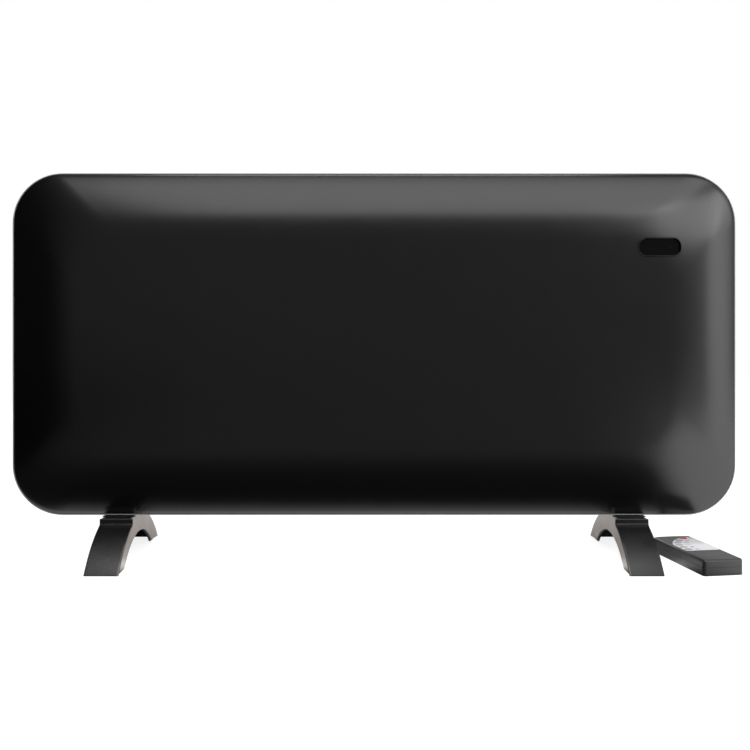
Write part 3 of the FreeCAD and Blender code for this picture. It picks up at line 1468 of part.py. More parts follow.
def make_remote_label():
    body = new_body("remote_label")
    sketch = new_sketch(body, "XY_Plane", d.remote_height - d.label_depth)
    draw_label(sketch, d.fit_gap / 2)
    extrude(body, "Pad", sketch, d.label_depth)
    holes = new_sketch(body, "XY_Plane", d.remote_height + d.overrun)
    for place in KEY_PLACE_SHARES.values():
        draw_key(holes, place, d.key_gap)
    cut_checked(body, holes, d.label_depth + 2 * d.overrun)
    lay_remote(body)
    keep(body)


def key_seat():
    """Underside of a key at rest: its travel and a little more above the keypad."""
    return keypad_top() + d.key_travel + d.fit_gap


def keypad_top():
    return board_top() + d.keypad_sheet


def board_top():
    return d.remote_split + d.remote_board_sheet


def make_keys():
    ceiling = d.remote_height - d.remote_wall
    for name, place in KEY_PLACE_SHARES.items():
        body = new_body(name)
        rim = new_sketch(body, "XY_Plane", key_seat())
        draw_key(rim, place, d.key_flange)
        extrude(body, "Pad", rim, ceiling - d.fit_gap - key_seat())
        cap = new_sketch(body, "XY_Plane", key_seat())
        draw_key(cap, place, ZERO)
        extrude(body, "Pad", cap, d.remote_height + d.key_rise - key_seat())
        top = (d.remote_height + d.key_rise).value
        edge = edges_where(body, lambda e: all(abs(v.Z - top) < d.hair.value for v in e.Vertexes))
        dress(body, "Chamfer", edge, d.key_rise / 2)
        lay_remote(body)
        keep(body)


def make_remote_inside():
    board = new_body("remote_board")
    sketch = new_sketch(board, "XY_Plane", d.remote_split)
    half = d.remote_width / 2 - d.remote_wall - d.fit_gap
    draw_box(sketch, -half, cell_end() + d.fit_gap, half, d.remote_length / 2 - 3 * d.remote_wall)
    extrude(board, "Pad", sketch, d.remote_board_sheet)
    lay_remote(board)
    keep(board)
    keypad = new_body("keypad")
    sketch = new_sketch(keypad, "XY_Plane", board_top())
    half = d.remote_width / 2 - 2 * d.remote_wall
    draw_box(sketch, -half, along(KEYPAD_SHARES["foot"]), half, along(KEYPAD_SHARES["head"]))
    extrude(keypad, "Pad", sketch, d.keypad_sheet)
    lay_remote(keypad)
    keep(keypad)
    emitter = new_body("ir_emitter")
    start = d.remote_length / 2 - d.emitter_length
    sketch = new_sketch(emitter, "XZ_Plane", -start)
    draw_emitter(sketch, ZERO)
    extrude(emitter, "Pad", sketch, d.emitter_length - 2 * d.fit_gap, back=True)
    lay_remote(emitter)
    keep(emitter)
    cells = []
    for side in (-1, 1):
        cell = new_body("cell")
        sketch = new_sketch(cell, "XZ_Plane", d.remote_length / 2 - 2 * d.remote_wall)
        draw_circle(sketch, (d.cell_radius + d.fit_gap) * side, d.door_sheet + d.fit_gap * 2 + d.cell_radius,
                    d.cell_radius)
        extrude(cell, "Pad", sketch, d.cell_length, back=True)
        lay_remote(cell)
        cells.append(cell)
    keep(group(cells, "remote_cells"))


make_front_glass()
make_edge_trim()
make_front_frame()
make_rear_casing()
make_outlet_grille()
for foot_side, foot_name in ((-1, "left"), (1, "right")):
    make_foot(foot_side, foot_name)
    make_foot_cheeks(foot_side, foot_name)
make_foot_pads()
make_foot_screws()
make_case_screws()
make_bracket_nuts()
make_display()
make_heat_shield()
make_element()
make_element_ends()
make_thermal_cutout()
make_electronics()
make_mains_switch()
make_gland()
make_tip_switch()
make_room_sensor()
make_remote_shells()
make_remote_label()
make_keys()
make_remote_inside()

doc.recompute()
for thing in doc.Objects:
    if "Invalid" in thing.State or "Error" in thing.State:
        raise RuntimeError("%s did not build" % thing.Label)
for label, thing in nodes.items():
    if thing.Shape.isNull() or not thing.Shape.isValid():
        raise RuntimeError("%s has no sound shape" % label)
os.makedirs("parts", exist_ok=True)
for label, thing in nodes.items():
    thing.Shape.exportStep("parts/%s.step" % label)
    box = thing.Shape.BoundBox
    print("%-20s %2d solids  X %7.1f %7.1f  Y %7.1f %7.1f  Z %7.1f %7.1f" % (
        label, len(thing.Shape.Solids), box.XMin, box.XMax, box.YMin, box.YMax, box.ZMin, box.ZMax))
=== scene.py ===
import json
import math

import bmesh
import bpy
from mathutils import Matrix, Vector


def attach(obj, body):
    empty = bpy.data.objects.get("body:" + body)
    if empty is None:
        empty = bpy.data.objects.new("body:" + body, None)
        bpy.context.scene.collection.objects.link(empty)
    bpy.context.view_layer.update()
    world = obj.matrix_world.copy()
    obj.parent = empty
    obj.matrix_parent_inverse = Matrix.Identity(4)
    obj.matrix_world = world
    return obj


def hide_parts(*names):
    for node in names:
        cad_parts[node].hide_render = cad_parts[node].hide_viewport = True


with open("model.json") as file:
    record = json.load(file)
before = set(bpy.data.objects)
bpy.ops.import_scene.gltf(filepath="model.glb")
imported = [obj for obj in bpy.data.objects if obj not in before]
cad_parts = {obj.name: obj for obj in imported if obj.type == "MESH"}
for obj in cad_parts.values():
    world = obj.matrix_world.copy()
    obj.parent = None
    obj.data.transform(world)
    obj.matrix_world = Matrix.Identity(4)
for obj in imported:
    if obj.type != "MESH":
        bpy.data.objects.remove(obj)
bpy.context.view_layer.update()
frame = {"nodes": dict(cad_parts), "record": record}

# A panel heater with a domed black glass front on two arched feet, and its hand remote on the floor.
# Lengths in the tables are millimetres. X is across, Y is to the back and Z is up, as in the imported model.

MM = 0.001

# The front, seen face on
PANEL_WIDTH, PANEL_HEIGHT, PANEL_CORNER = 900.0, 425.5, 62.3
PANEL_LOW = 55.5
PANEL_UP = PANEL_LOW + PANEL_HEIGHT / 2
RIM_FRONT, BEAD_BACK = -29.0, -22.5
DOME_HEIGHT, BORDER_WIDTH, FLAT_CORNER = 18.0, 85.0, 60.0
BEAD_WALL, FIT = 1.3, 0.2
GLASS_SHEET, GLASS_EDGE = 5.0, 0.7
BORDER_BANDS = 20

# Display window
WINDOW_RIGHT, WINDOW_UP = 351.0, 388.0
WINDOW_WIDTH, WINDOW_HEIGHT, WINDOW_CORNER = 54.0, 24.0, 10.5
WINDOW_FRONT, WINDOW_FACE, WINDOW_BACK = -47.4, -44.2, -38.0
PANE_INSET, PANE_SHEET = 2.0, 2.0
LENS_RIGHT, LENS_RADIUS, LENS_PROUD = 14.0, 2.2, 0.25
DIGIT_PLACES = (-11.5, -3.5)
# Bars of a digit: X and Z from its middle, and whether the bar stands
DIGIT_BARS = [
    (0, 4, False), (0, 0, False), (0, -4, False),
    (-2, 2, True), (2, 2, True), (-2, -2, True), (2, -2, True),
]
BAR_HALF, BAR_SLANT, BAR_PROUD = 1.7, 0.45, 0.06

# Feet
FOOT_RIGHT, FOOT_WIDTH = 317.8, 41.0
LEG_RADIUS, SKIN, WEB, ROOF, TOE_BAR = 171.8, 2.0, 2.0, 44.0, 8.0
TOE, FOOT_LOW = 120.0, 0.5
COLLAR, COLLAR_LOW, COLLAR_TOP = 43.0, 46.7, 53.1
NECK, NECK_TOP, LIP = 28.0, 54.5, 1.0
ARCH_HALF, ARCH_RISE = 82.0, 30.0
CHEEK_RECESS, CHEEK_SHEET = 4.0, 2.5
BOLT_SEAT, BOLT_WELL = 61.5, 7.0
TENON_FRONT, TENON_BACK, TENON_TOP = -21.7, 15.2, 67.5
LEG_BREAK, TOE_BREAK, BLOCK_BREAK = 1.8, 1.2, 0.6

# Remote, in its own frame: X across, Y to its head, Z up from the floor
REMOTE_PLACE, REMOTE_TURN = (395.8, -45.0), math.radians(10)
REMOTE_WIDTH, REMOTE_LENGTH, REMOTE_HEIGHT = 50.0, 141.0, 19.0
REMOTE_SPLIT, REMOTE_WALL, REMOTE_CORNER, REMOTE_BOW = 9.5, 2.0, 4.0, 1.5
COVER_EDGE, SPLIT_EDGE = 2.6, 0.25
EMITTER_HALF, EMITTER_LOW, EMITTER_TOP = 4.1, 10.8, 15.0

# On the remote's face, from its left side and its head
LABEL_LEFT, LABEL_RIGHT, LABEL_TOP, LABEL_LOW = 3.7, 47.3, 11.6, 89.1
LABEL_WAIST, LABEL_SHOULDER, LABEL_CURVE = 54.0, 37.1, 64.9
FOOT_ROUND, HEAD_ROUND, SHOULDER_ROUND = 3.0, 3.5, 4.0
LABEL_DEPTH, LABEL_FIT, LABEL_PROUD = 0.5, 0.1, 0.05
SAIL = [(4.2, 10.6), (24.0, 10.8), (17.5, 17.8), (11.5, 25.5), (6.6, 34.0), (4.6, 40.0)]
SAIL_DEPTH, SAIL_GAP = 0.5, 0.55
# The island in the groove starts this far under its floor and ends this far under the face
ISLAND_SUNK, ISLAND_SHORT = 0.1, 0.05
KEY_LONG, KEY_SHORT, KEY_TOP, KEY_SEAT = 9.3, 7.4, 20.0, 12.7
# A key's dome, step by step: how far in and how far up
KEY_DOME = [(0.35, 0.22), (0.7, 0.15), (1.0, 0.06), (0.9, 0.02)]
KEY_CROWN = 0.45
KEY_RIM, KEY_PLAY, KEY_HOLE, LABEL_HOLE = 0.8, 0.2, 0.3, 0.25
KEYS = {
    "power_button": (34.3, 18.0),
    "timer_button": (22.8, 30.0),
    "mode_button": (14.9, 43.0),
    "clock_button": (10.8, 55.8),
    "warmer_button": (10.0, 68.7),
    "cooler_button": (9.8, 82.1),
}
MARKS = {
    "power": (43.4, 18.1),
    "timer": (32.6, 30.4),
    "mode": (26.3, 42.9),
    "clock": (22.0, 55.9),
    "warmer": (21.1, 68.8),
    "cooler": (21.1, 81.9),
}
INK_LINE, INK_SHEET, INK_RING = 0.42, 0.05, 3.0
# Strokes in each ring: from its middle to the right and down, length, width, and turn in degrees
STROKES = {
    "power": [(0, -0.9, 2.6, INK_LINE, 90)],
    "timer": [(0, 0, 3.2, 0.7, -50), (0.7, 0.8, 1.3, 0.7, 30)],
    "mode": [(-0.5, 0.2, 2.8, INK_LINE, 100), (0.3, -0.9, 1.7, 0.6, 20)],
    "clock": [(0, -0.9, 1.9, INK_LINE, 90), (0.6, 0, 1.4, INK_LINE, 0)],
    "warmer": [(0, 0, 3.6, INK_LINE, turn) for turn in (0, 45, 90, 135)],
}
TRIANGLE = [(-1.3, 0.9), (1.3, 0.9), (0, -1.3)]


# Finishes


# The slow mottle's patches are about 33 mm across
MOTTLE_SCALE = 30.0


def linear(code):
    """An sRGB hex colour as linear light."""
    parts = [int(code[i:i + 2], 16) / 255 for i in (1, 3, 5)]
    return [c / 12.92 if c <= 0.04045 else ((c + 0.055) / 1.055) ** 2.4 for c in parts] + [1]


def add(tree, kind, settings=(), links=()):
    """Adds a node. Settings are its sockets, by name or number, or its own options. Links are what it
    reads."""
    node = tree.nodes.new("ShaderNode" + kind)
    for name, value in dict(settings).items():
        if isinstance(name, int) or name in node.inputs:
            node.inputs[name].default_value = value
        else:
            setattr(node, name, value)
    for name, source in dict(links).items():
        tree.links.new(source, node.inputs[name])
    return node


def finish(name, light, dark, rough, spread, grain, relief, shader=()):
    """A surface with a fine grain that lifts it and a slow mottle that shifts its colour and gloss.
    Grain is the size of the grain along X, Y and Z, relief its height, both in millimetres."""
    material = bpy.data.materials.new(name)
    material.use_nodes = True
    tree = material.node_tree
    tree.nodes.clear()
    place = add(tree, "TexCoord").outputs["Object"]
    scaled = add(tree, "Mapping", {"Scale": [1 / (g * MM) for g in grain]}, {"Vector": place})
    fine = add(tree, "TexNoise", {"Scale": 1.0, "Detail": 3.0}, {"Vector": scaled.outputs[0]})
    slow = add(tree, "TexNoise", {"Scale": MOTTLE_SCALE, "Detail": 2.0}, {"Vector": place})
    both = add(tree, "Math", {"operation": "MULTIPLY"}, {0: fine.outputs[0], 1: slow.outputs[0]})
    tone = add(tree, "MapRange", {"From Min": 0.1, "From Max": 0.4}, {"Value": both.outputs[0]})
    colour = add(tree, "Mix", {"data_type": "RGBA", 6: linear(light), 7: linear(dark)}, {0: tone.outputs[0]})
    gloss = add(tree, "MapRange", {"From Min": 0.3, "From Max": 0.7, "To Min": rough - spread,
                                   "To Max": rough + spread}, {"Value": slow.outputs[0]})
    bump = add(tree, "Bump", {"Strength": 1.0, "Distance": relief * MM}, {"Height": fine.outputs[0]})
    body = add(tree, "BsdfPrincipled", shader,
               {"Base Color": colour.outputs[2], "Roughness": gloss.outputs[0], "Normal": bump.outputs[0]})
    add(tree, "OutputMaterial", (), {"Surface": body.outputs[0]})
    return material


# Texture finer than about 1.5 mm is drawn coarser than the real one, which is too fine to show
METAL = {"Metallic": 1.0}
FINISHES = {
    # Toughened glass painted black on its back: deep black with soft, satin reflections
    "black_glass": ("#060606", "#040404", 0.21, 0.01, (60, 60, 60), 0.0, {"IOR": 1.52}),
    # Smoked polycarbonate with an anti-glare coat: almost black, and darker than the glass round it
    "smoked_window": ("#050506", "#030304", 0.09, 0.01, (40, 40, 40), 0.0,
                      {"IOR": 1.58, "Specular IOR Level": 0.16}),
    # Anodised aluminium bead: its pale film scatters light, so it is part metal, much the same all round
    "polished_edge": ("#98999b", "#8e8f91", 0.42, 0.03, (30, 2, 2), 0.005, {"Metallic": 0.3}),
    # Powder-coated steel sheet: satin black with a faint orange peel
    "steel_black": ("#1c1c1d", "#19191a", 0.46, 0.02, (1.6, 1.6, 1.6), 0.03, {"IOR": 1.5}),
    # Zinc-plated steel: pale blue-grey metal, cloudy
    "steel_zinc": ("#b4b8bd", "#9aa0a6", 0.36, 0.08, (6, 6, 6), 0.004, METAL),
    # Aluminised sheet: bright, with a faint rolled grain across it
    "aluminised_sheet": ("#cfd1d3", "#b9bcbf", 0.33, 0.05, (40, 0.8, 0.8), 0.004, METAL),
    # Extruded aluminium: fine die lines along its length
    "cast_aluminium": ("#c2c4c6", "#a9abad", 0.38, 0.05, (80, 0.6, 0.6), 0.01, METAL),
    # Unglazed steatite: warm white and dry
    "ceramic_white": ("#e6e1d6", "#dad4c7", 0.62, 0.05, (0.9, 0.9, 0.9), 0.02, {}),
    # Moulded ABS: satin tool finish, drawn coarse
    "moulding_black": ("#0f0f10", "#0b0b0c", 0.28, 0.03, (1.2, 1.2, 1.2), 0.004, {"IOR": 1.53}),
    # Warm silver lacquer on the cheeks: fine metal flake, drawn coarse, with a soft sheen
    "cheek_silver": ("#a69d97", "#98908a", 0.42, 0.03, (1.0, 1.0, 1.0), 0.004, {"Metallic": 0.8}),
    # Soft rubber: dull black
    "rubber_black": ("#121212", "#0d0d0d", 0.75, 0.05, (0.8, 0.8, 0.8), 0.02, {}),
    # Solder mask over glass-cloth board: glossy green
    "board_green": ("#1c5a2e", "#164a26", 0.28, 0.05, (1.5, 1.5, 1.5), 0.01, {}),
    # Epoxy mouldings: dull black
    "component_black": ("#1b1b1c", "#141415", 0.55, 0.05, (0.9, 0.9, 0.9), 0.01, {}),
    # Relay cases: dyed blue nylon
    "component_blue": ("#24529c", "#1d4689", 0.4, 0.05, (1.4, 1.4, 1.4), 0.01, {}),
    # Natural nylon: ivory, slightly waxy
    "terminal_ivory": ("#e2dac2", "#d6cdb3", 0.42, 0.05, (1.4, 1.4, 1.4), 0.01, {}),
    # Flat cable: grey vinyl with a rib for each wire
    "ribbon_grey": ("#9b9da1", "#7d7f84", 0.45, 0.04, (60, 60, 1.3), 0.15, {}),
    # Unlit segments behind the window: matt and darker than it
    "digits_dark": ("#020202", "#010101", 0.8, 0.05, (2, 2, 2), 0.0, {"Specular IOR Level": 0.1}),
    # Moulded ABS with a fine spark texture, drawn coarse
    "remote_black": ("#2b2b2c", "#232324", 0.45, 0.03, (0.9, 0.9, 0.9), 0.02, {"IOR": 1.53}),
    # Printed polyester film: pale grey, very slightly textured
    "label_grey": ("#d3d4d7", "#cccdd0", 0.42, 0.03, (0.7, 0.7, 0.7), 0.008, {}),
    # Silicone rubber keys: soft sheen
    "key_red": ("#c52b24", "#b5221d", 0.48, 0.04, (1.0, 1.0, 1.0), 0.01, {}),
    "key_grey": ("#a3a3a4", "#979798", 0.48, 0.04, (1.0, 1.0, 1.0), 0.01, {}),
    "keypad_grey": ("#8c8c8e", "#808082", 0.6, 0.04, (1.5, 1.5, 1.5), 0.01, {}),
    # Foil sleeve of a dry cell
    "cell_metal": ("#a9abb3", "#8f929b", 0.3, 0.05, (12, 12, 12), 0.004, METAL),
    # Tinted epoxy emitter: dark violet, glossy
    "emitter_clear": ("#1c1822", "#15111b", 0.08, 0.01, (8, 8, 8), 0.0, {"IOR": 1.55}),
}
finishes = {name: finish(name, *row) for name, row in FINISHES.items()}
# Screen ink of the symbols on the label: matt dark grey
finishes["symbol_ink"] = finish("symbol_ink", "#55565a", "#4a4b4f", 0.6, 0.03, (1, 1, 1), 0.0)


# Modelling, by hand in edit mode


def clear():
    if bpy.context.mode != "OBJECT":
        bpy.ops.object.mode_set(mode="OBJECT")
    bpy.ops.object.select_all(action="DESELECT")


def take(piece):
    """The piece alone is selected and active, in object mode."""
    clear()
    piece.select_set(True)
    bpy.context.view_layer.objects.active = piece


def edit(piece):
    take(piece)
    bpy.ops.object.mode_set(mode="EDIT")
    bpy.ops.mesh.select_mode(type="VERT")
    bpy.ops.mesh.select_all(action="SELECT")


def start(name, kind="plane", **sizes):
    """A new primitive, left in edit mode with all of it selected."""
    clear()
    getattr(bpy.ops.mesh, "primitive_%s_add" % kind)(**sizes)
    piece = bpy.context.object
    piece.name = piece.data.name = name
    edit(piece)
    return piece


def pick(piece, kind, test):
    """Selects the corners, edges or faces that pass a test of their own."""
    bpy.ops.mesh.select_mode(type=kind)
    bpy.ops.mesh.select_all(action="DESELECT")
    form = bmesh.from_edit_mesh(piece.data)
    for part in {"VERT": form.verts, "EDGE": form.edges, "FACE": form.faces}[kind]:
        if test(part):
            part.select_set(True)
    bmesh.update_edit_mesh(piece.data)


def near(a, b):
    return abs(a - b) < 0.01 * MM


def push(move):
    bpy.ops.mesh.extrude_region_move(TRANSFORM_OT_translate={"value": move})


def trace(name, points):
    """A closed outline drawn corner by corner, in millimetres, and filled."""
    piece = start(name, size=MM)
    bpy.ops.mesh.merge(type="CENTER")
    corners = [Vector(p) * MM for p in points]
    bpy.ops.transform.translate(value=corners[0])
    for here, there in zip(corners, corners[1:]):
        push(there - here)
    bpy.ops.mesh.select_all(action="SELECT")
    bpy.ops.mesh.edge_face_add()
    return piece


def outward():
    bpy.ops.mesh.select_all(action="SELECT")
    bpy.ops.mesh.normals_make_consistent(inside=False)


def prism(name, points, along):
    """A traced outline pushed out along a vector, in millimetres."""
    piece = trace(name, points)
    push(Vector(along) * MM)
    outward()
    return piece


def arc(start_point, end_point, radius, steps):
    """Points of an arc after its start. The radius is negative where the middle lies to the right."""
    (ax, ay), (bx, by) = start_point, end_point
    half = Vector(((bx - ax) / 2, (by - ay) / 2))
    drop = math.sqrt(max(radius * radius - half.length_squared, 0))
    side = Vector((-half.y, half.x)).normalized() * math.copysign(drop, radius)
    middle = Vector((ax, ay)) + half + side
    first, last = Vector((ax, ay)) - middle, Vector((bx, by)) - middle
    turn = math.atan2(first.x * last.y - first.y * last.x, first.dot(last))
    base = math.atan2(first.y, first.x)
    return [(middle.x + abs(radius) * math.cos(base + turn * i / steps),
             middle.y + abs(radius) * math.sin(base + turn * i / steps)) for i in range(1, steps + 1)]


def rings(name, sections, segments, closed=False, caps=()):
    """Rounded rectangles that face forward, bridged in turn. A section is its middle's X and Z, its width,
    height and corner radius, and its Y. They stand apart until they are bridged, because two in one plane
    would be joined crosswise."""
    apart = 10 * MM
    piece = start(name, size=1)
    bpy.ops.mesh.delete(type="VERT")
    bmesh.from_edit_mesh(piece.data).verts.layers.int.new("turn")
    for turn, (x, z, width, height, radius, y) in enumerate(sections, start=1):
        place = (x * MM, turn * apart, z * MM)
        bpy.ops.mesh.primitive_plane_add(size=1, location=place, rotation=(math.pi / 2, 0, 0))
        bpy.ops.transform.resize(value=(width * MM, 1, height * MM), center_override=place)
        bpy.ops.mesh.bevel(affect="VERTICES", offset=radius * MM, segments=segments, profile=0.5)
        bpy.ops.mesh.select_all(action="DESELECT")
        form = bmesh.from_edit_mesh(piece.data)
        layer = form.verts.layers.int["turn"]
        for corner in form.verts:
            corner[layer] = corner[layer] or turn
        for face in form.faces:
            if face.verts[0][layer] == turn:
                face.select_set(True)
        bmesh.update_edit_mesh(piece.data)
        bpy.ops.mesh.select_mode(type="FACE")
        bpy.ops.mesh.delete(type="ONLY_FACE")
    pairs = [(i, i + 1) for i in range(1, len(sections))]
    for pair in pairs + ([(len(sections), 1)] if closed else []):
        select_turns(piece, pair)
        bpy.ops.mesh.bridge_edge_loops()
    for turn in caps:
        select_turns(piece, (turn,))
        bpy.ops.mesh.edge_face_add()
    for turn, section in enumerate(sections, start=1):
        select_turns(piece, (turn,))
        bpy.ops.transform.translate(value=(0, section[-1] * MM - turn * apart, 0))
    outward()
    return piece


def select_turns(piece, turns):
    """Selects the edges that run round the given sections."""
    layer = bmesh.from_edit_mesh(piece.data).verts.layers.int["turn"]
    pick(piece, "EDGE", lambda e: e.verts[0][layer] == e.verts[1][layer] and e.verts[0][layer] in turns)


def use(piece, kind, **settings):
    """Adds a modifier and applies it."""
    take(piece)
    modifier = piece.modifiers.new(kind.lower(), kind)
    for name, value in settings.items():
        setattr(modifier, name, value)
    bpy.ops.object.modifier_apply(modifier=modifier.name)


def cut(piece, *tools):
    """Cuts the tools out of the piece and throws them away."""
    for tool in tools:
        clear()
        use(piece, "BOOLEAN", operation="DIFFERENCE", solver="EXACT", object=tool)
        bpy.data.objects.remove(tool)


def soften(piece, width, segments=2):
    """Bevels the edges that turn by more than 35 degrees."""
    use(piece, "BEVEL", width=width * MM, segments=segments, limit_method="ANGLE",
        angle_limit=math.radians(35), use_clamp_overlap=True)


def join(name, pieces):
    take(pieces[0])
    for piece in pieces:
        piece.select_set(True)
    bpy.ops.object.join()
    pieces[0].name = pieces[0].data.name = name
    return pieces[0]


def twin(piece, name, move):
    """A copy with its own mesh, moved by a vector in millimetres."""
    clear()
    copy = bpy.data.objects.new(name, piece.data.copy())
    bpy.context.scene.collection.objects.link(copy)
    edit(copy)
    bpy.ops.transform.translate(value=Vector(move) * MM)
    clear()
    return copy


def hand_over(piece, slot, body, nodes=(), angle=35, even=True, coat=None):
    """The piece's place goes into its mesh, and it gets its finish and the body that it moves with. A coat
    is a finish of its own over the slot's."""
    take(piece)
    bpy.ops.object.transform_apply(location=True, rotation=True, scale=True)
    bpy.ops.object.shade_smooth_by_angle(angle=math.radians(angle))
    if even:
        use(piece, "WEIGHTED_NORMAL", keep_sharp=True)
    for layer in [a for a in piece.data.attributes if a.name == "turn"]:
        piece.data.attributes.remove(layer)
    piece.data.materials.clear()
    piece.data.materials.append(finishes[coat or slot])
    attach(piece, body)
    if nodes:
        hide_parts(*nodes)
    clear()


def dress(node, name, slot, body, bevel):
    """A copy of a CAD node with its seams closed, its flat faces whole and its edges softened."""
    clear()
    piece = bpy.data.objects.new(name, frame["nodes"][node].data.copy())
    bpy.context.scene.collection.objects.link(piece)
    edit(piece)
    bpy.ops.mesh.remove_doubles(threshold=0.002 * MM)
    bpy.ops.mesh.dissolve_limited(angle_limit=math.radians(0.4))
    if bevel:
        soften(piece, bevel)
    hand_over(piece, slot, body, [node])


# Glass front


def front_section(inset, y, corner=None):
    """A rounded rectangle inside the bead's outline."""
    corner = corner or PANEL_CORNER - inset
    return 0, PANEL_UP, PANEL_WIDTH - 2 * inset, PANEL_HEIGHT - 2 * inset, corner, y


def window_section(grow, y):
    """A rounded rectangle round the display window."""
    wide, high = WINDOW_WIDTH + 2 * grow, WINDOW_HEIGHT + 2 * grow
    return WINDOW_RIGHT, WINDOW_UP, wide, high, WINDOW_CORNER + grow, y


def make_glass():
    """The border falls away from the flat middle as the square of its width."""
    rim = BEAD_WALL + FIT
    sections = []
    for band in range(BORDER_BANDS + 1):
        share = 1 - band / BORDER_BANDS
        inset = rim + (BORDER_WIDTH - rim) * (1 - share)
        corner = FLAT_CORNER + (PANEL_CORNER - rim - FLAT_CORNER) * share
        sections.append(front_section(inset, RIM_FRONT - DOME_HEIGHT * (1 - share ** 2), corner))
    glass = rings("glass_front", sections, 16, caps=(len(sections),))
    bpy.ops.mesh.select_all(action="SELECT")
    push((0, GLASS_SHEET * MM, 0))
    outward()
    layer = bmesh.from_edit_mesh(glass.data).verts.layers.int["turn"]
    pick(glass, "EDGE", lambda e: all(v[layer] == 1 and near(v.co.y, RIM_FRONT * MM) for v in e.verts))
    bpy.ops.mesh.bevel(offset=GLASS_EDGE * MM, segments=3, profile=0.5)
    hole = rings("window_hole", [window_section(FIT, -60), window_section(FIT, -20)], 12, caps=(1, 2))
    cut(glass, hole)
    hand_over(glass, "black_glass", "heater", ["front_glass"], even=False)


def make_bead():
    """A thin bead with a rounded front edge."""
    round_off = BEAD_WALL / 4
    sections = [
        front_section(0, BEAD_BACK),
        front_section(0, RIM_FRONT + round_off),
        front_section(round_off, RIM_FRONT),
        front_section(BEAD_WALL - round_off, RIM_FRONT),
        front_section(BEAD_WALL, RIM_FRONT + round_off),
        front_section(BEAD_WALL, BEAD_BACK),
    ]
    bead = rings("edge_bead", sections, 16, closed=True)
    hand_over(bead, "polished_edge", "heater", ["edge_trim"])


def make_window():
    """A glossy rim round the flat window, with the receiver's lens and two unlit digits behind it."""
    wall = 1.8
    # How far in from the rim's outside, and how far behind its front
    profile = [(0, 0.7), (0.2, 0.2), (0.7, 0), (1.1, 0), (1.6, 0.3), (wall, 0.8)]
    sections = [window_section(0, WINDOW_BACK)]
    sections += [window_section(-inward, WINDOW_FRONT + behind) for inward, behind in profile]
    sections.append(window_section(-wall, WINDOW_BACK))
    rim = rings("window_rim", sections, 12, closed=True)
    hand_over(rim, "smoked_window", "heater", ["display_bezel"])
    sheet = [window_section(-PANE_INSET, WINDOW_FACE + behind) for behind in (0, PANE_SHEET)]
    pane = rings("window_pane", sheet, 12, caps=(1, 2))
    soften(pane, 0.25)
    hand_over(pane, "smoked_window", "heater", ["display_window"])
    place = Vector((WINDOW_RIGHT + LENS_RIGHT, WINDOW_FACE, WINDOW_UP)) * MM
    lens = start("receiver_lens", "circle", vertices=32, radius=LENS_RADIUS * MM, fill_type="NGON",
                 location=place, rotation=(math.pi / 2, 0, 0))
    push((0, -LENS_PROUD * MM, 0))
    outward()
    soften(lens, 0.1)
    hand_over(lens, "digits_dark", "heater")
    digits = []
    for place in DIGIT_PLACES:
        digits += [digit_bar(WINDOW_RIGHT + place + across, WINDOW_UP + up, stands)
                   for across, up, stands in DIGIT_BARS]
    hand_over(join("window_digits", digits), "digits_dark", "heater")


def digit_bar(x, z, stands):
    """One bar of a digit, pointed at both ends."""
    end, side = BAR_HALF, BAR_SLANT
    shoulder = end - side
    points = [(-end, 0), (-shoulder, side), (shoulder, side), (end, 0), (shoulder, -side), (-shoulder, -side)]
    if stands:
        points = [(b, a) for a, b in points]
    return prism("digit_bar", [(x + a, WINDOW_FACE, z + b) for a, b in points], (0, -BAR_PROUD, 0))


# Feet


def leg_middle():
    """Middle of the leg's outer arc behind the heater, seen from the side."""
    half = Vector(((COLLAR - TOE) / 2, (COLLAR_LOW - FOOT_LOW) / 2))
    drop = math.sqrt(LEG_RADIUS ** 2 - half.length_squared)
    across = Vector((half.y, -half.x)).normalized()
    return Vector((TOE, FOOT_LOW)) + half - across * drop


def skin_reach(up):
    """How far out the legs' inner arc stands at a height."""
    middle = leg_middle()
    return middle.x + math.sqrt((LEG_RADIUS - SKIN) ** 2 - (up - middle.y) ** 2)


def skin_height(out):
    """How high the legs' inner arc stands, that far out."""
    middle = leg_middle()
    return middle.y + math.sqrt((LEG_RADIUS - SKIN) ** 2 - (out - middle.x) ** 2)


def arch_span():
    """The arch under a foot, from its front end to its rear end."""
    radius = (ARCH_HALF ** 2 + ARCH_RISE ** 2) / (2 * ARCH_RISE)
    inner = math.sqrt(radius ** 2 - (radius - ARCH_RISE + FOOT_LOW) ** 2)
    return [(-inner, FOOT_LOW)] + arc((-inner, FOOT_LOW), (inner, FOOT_LOW), -radius, 32)


def rear_edge():
    """The back of a foot, from its toe up to the neck."""
    edge = [(TOE, FOOT_LOW)] + arc((TOE, FOOT_LOW), (COLLAR, COLLAR_LOW), LEG_RADIUS, 16)
    return edge + [(COLLAR, COLLAR_TOP), (NECK, COLLAR_TOP), (NECK, NECK_TOP)]


def front_edge():
    """The cheek's front, from the neck down to the toe, behind the moulding's skin."""
    neck, collar = LIP - NECK, LIP - COLLAR
    edge = [(neck, NECK_TOP), (neck, COLLAR_TOP), (collar, COLLAR_TOP), (collar, skin_height(-collar))]
    return edge + arc(edge[-1], (-skin_reach(FOOT_LOW), FOOT_LOW), LEG_RADIUS - SKIN, 16)


def foot_outline():
    """The whole moulding from the side."""
    tenon = [(TENON_BACK, NECK_TOP), (TENON_BACK, TENON_TOP)]
    tenon += [(TENON_FRONT, TENON_TOP), (TENON_FRONT, NECK_TOP)]
    front = [(-y, z) for y, z in reversed(rear_edge())]
    return rear_edge() + tenon + front + arch_span()


def recess_outline():
    """What is taken off the moulding's side for a cheek."""
    low = FOOT_LOW - 1
    return [(TOE + 1, low), (TOE + 1, NECK_TOP)] + front_edge() + [(-skin_reach(FOOT_LOW), low)]


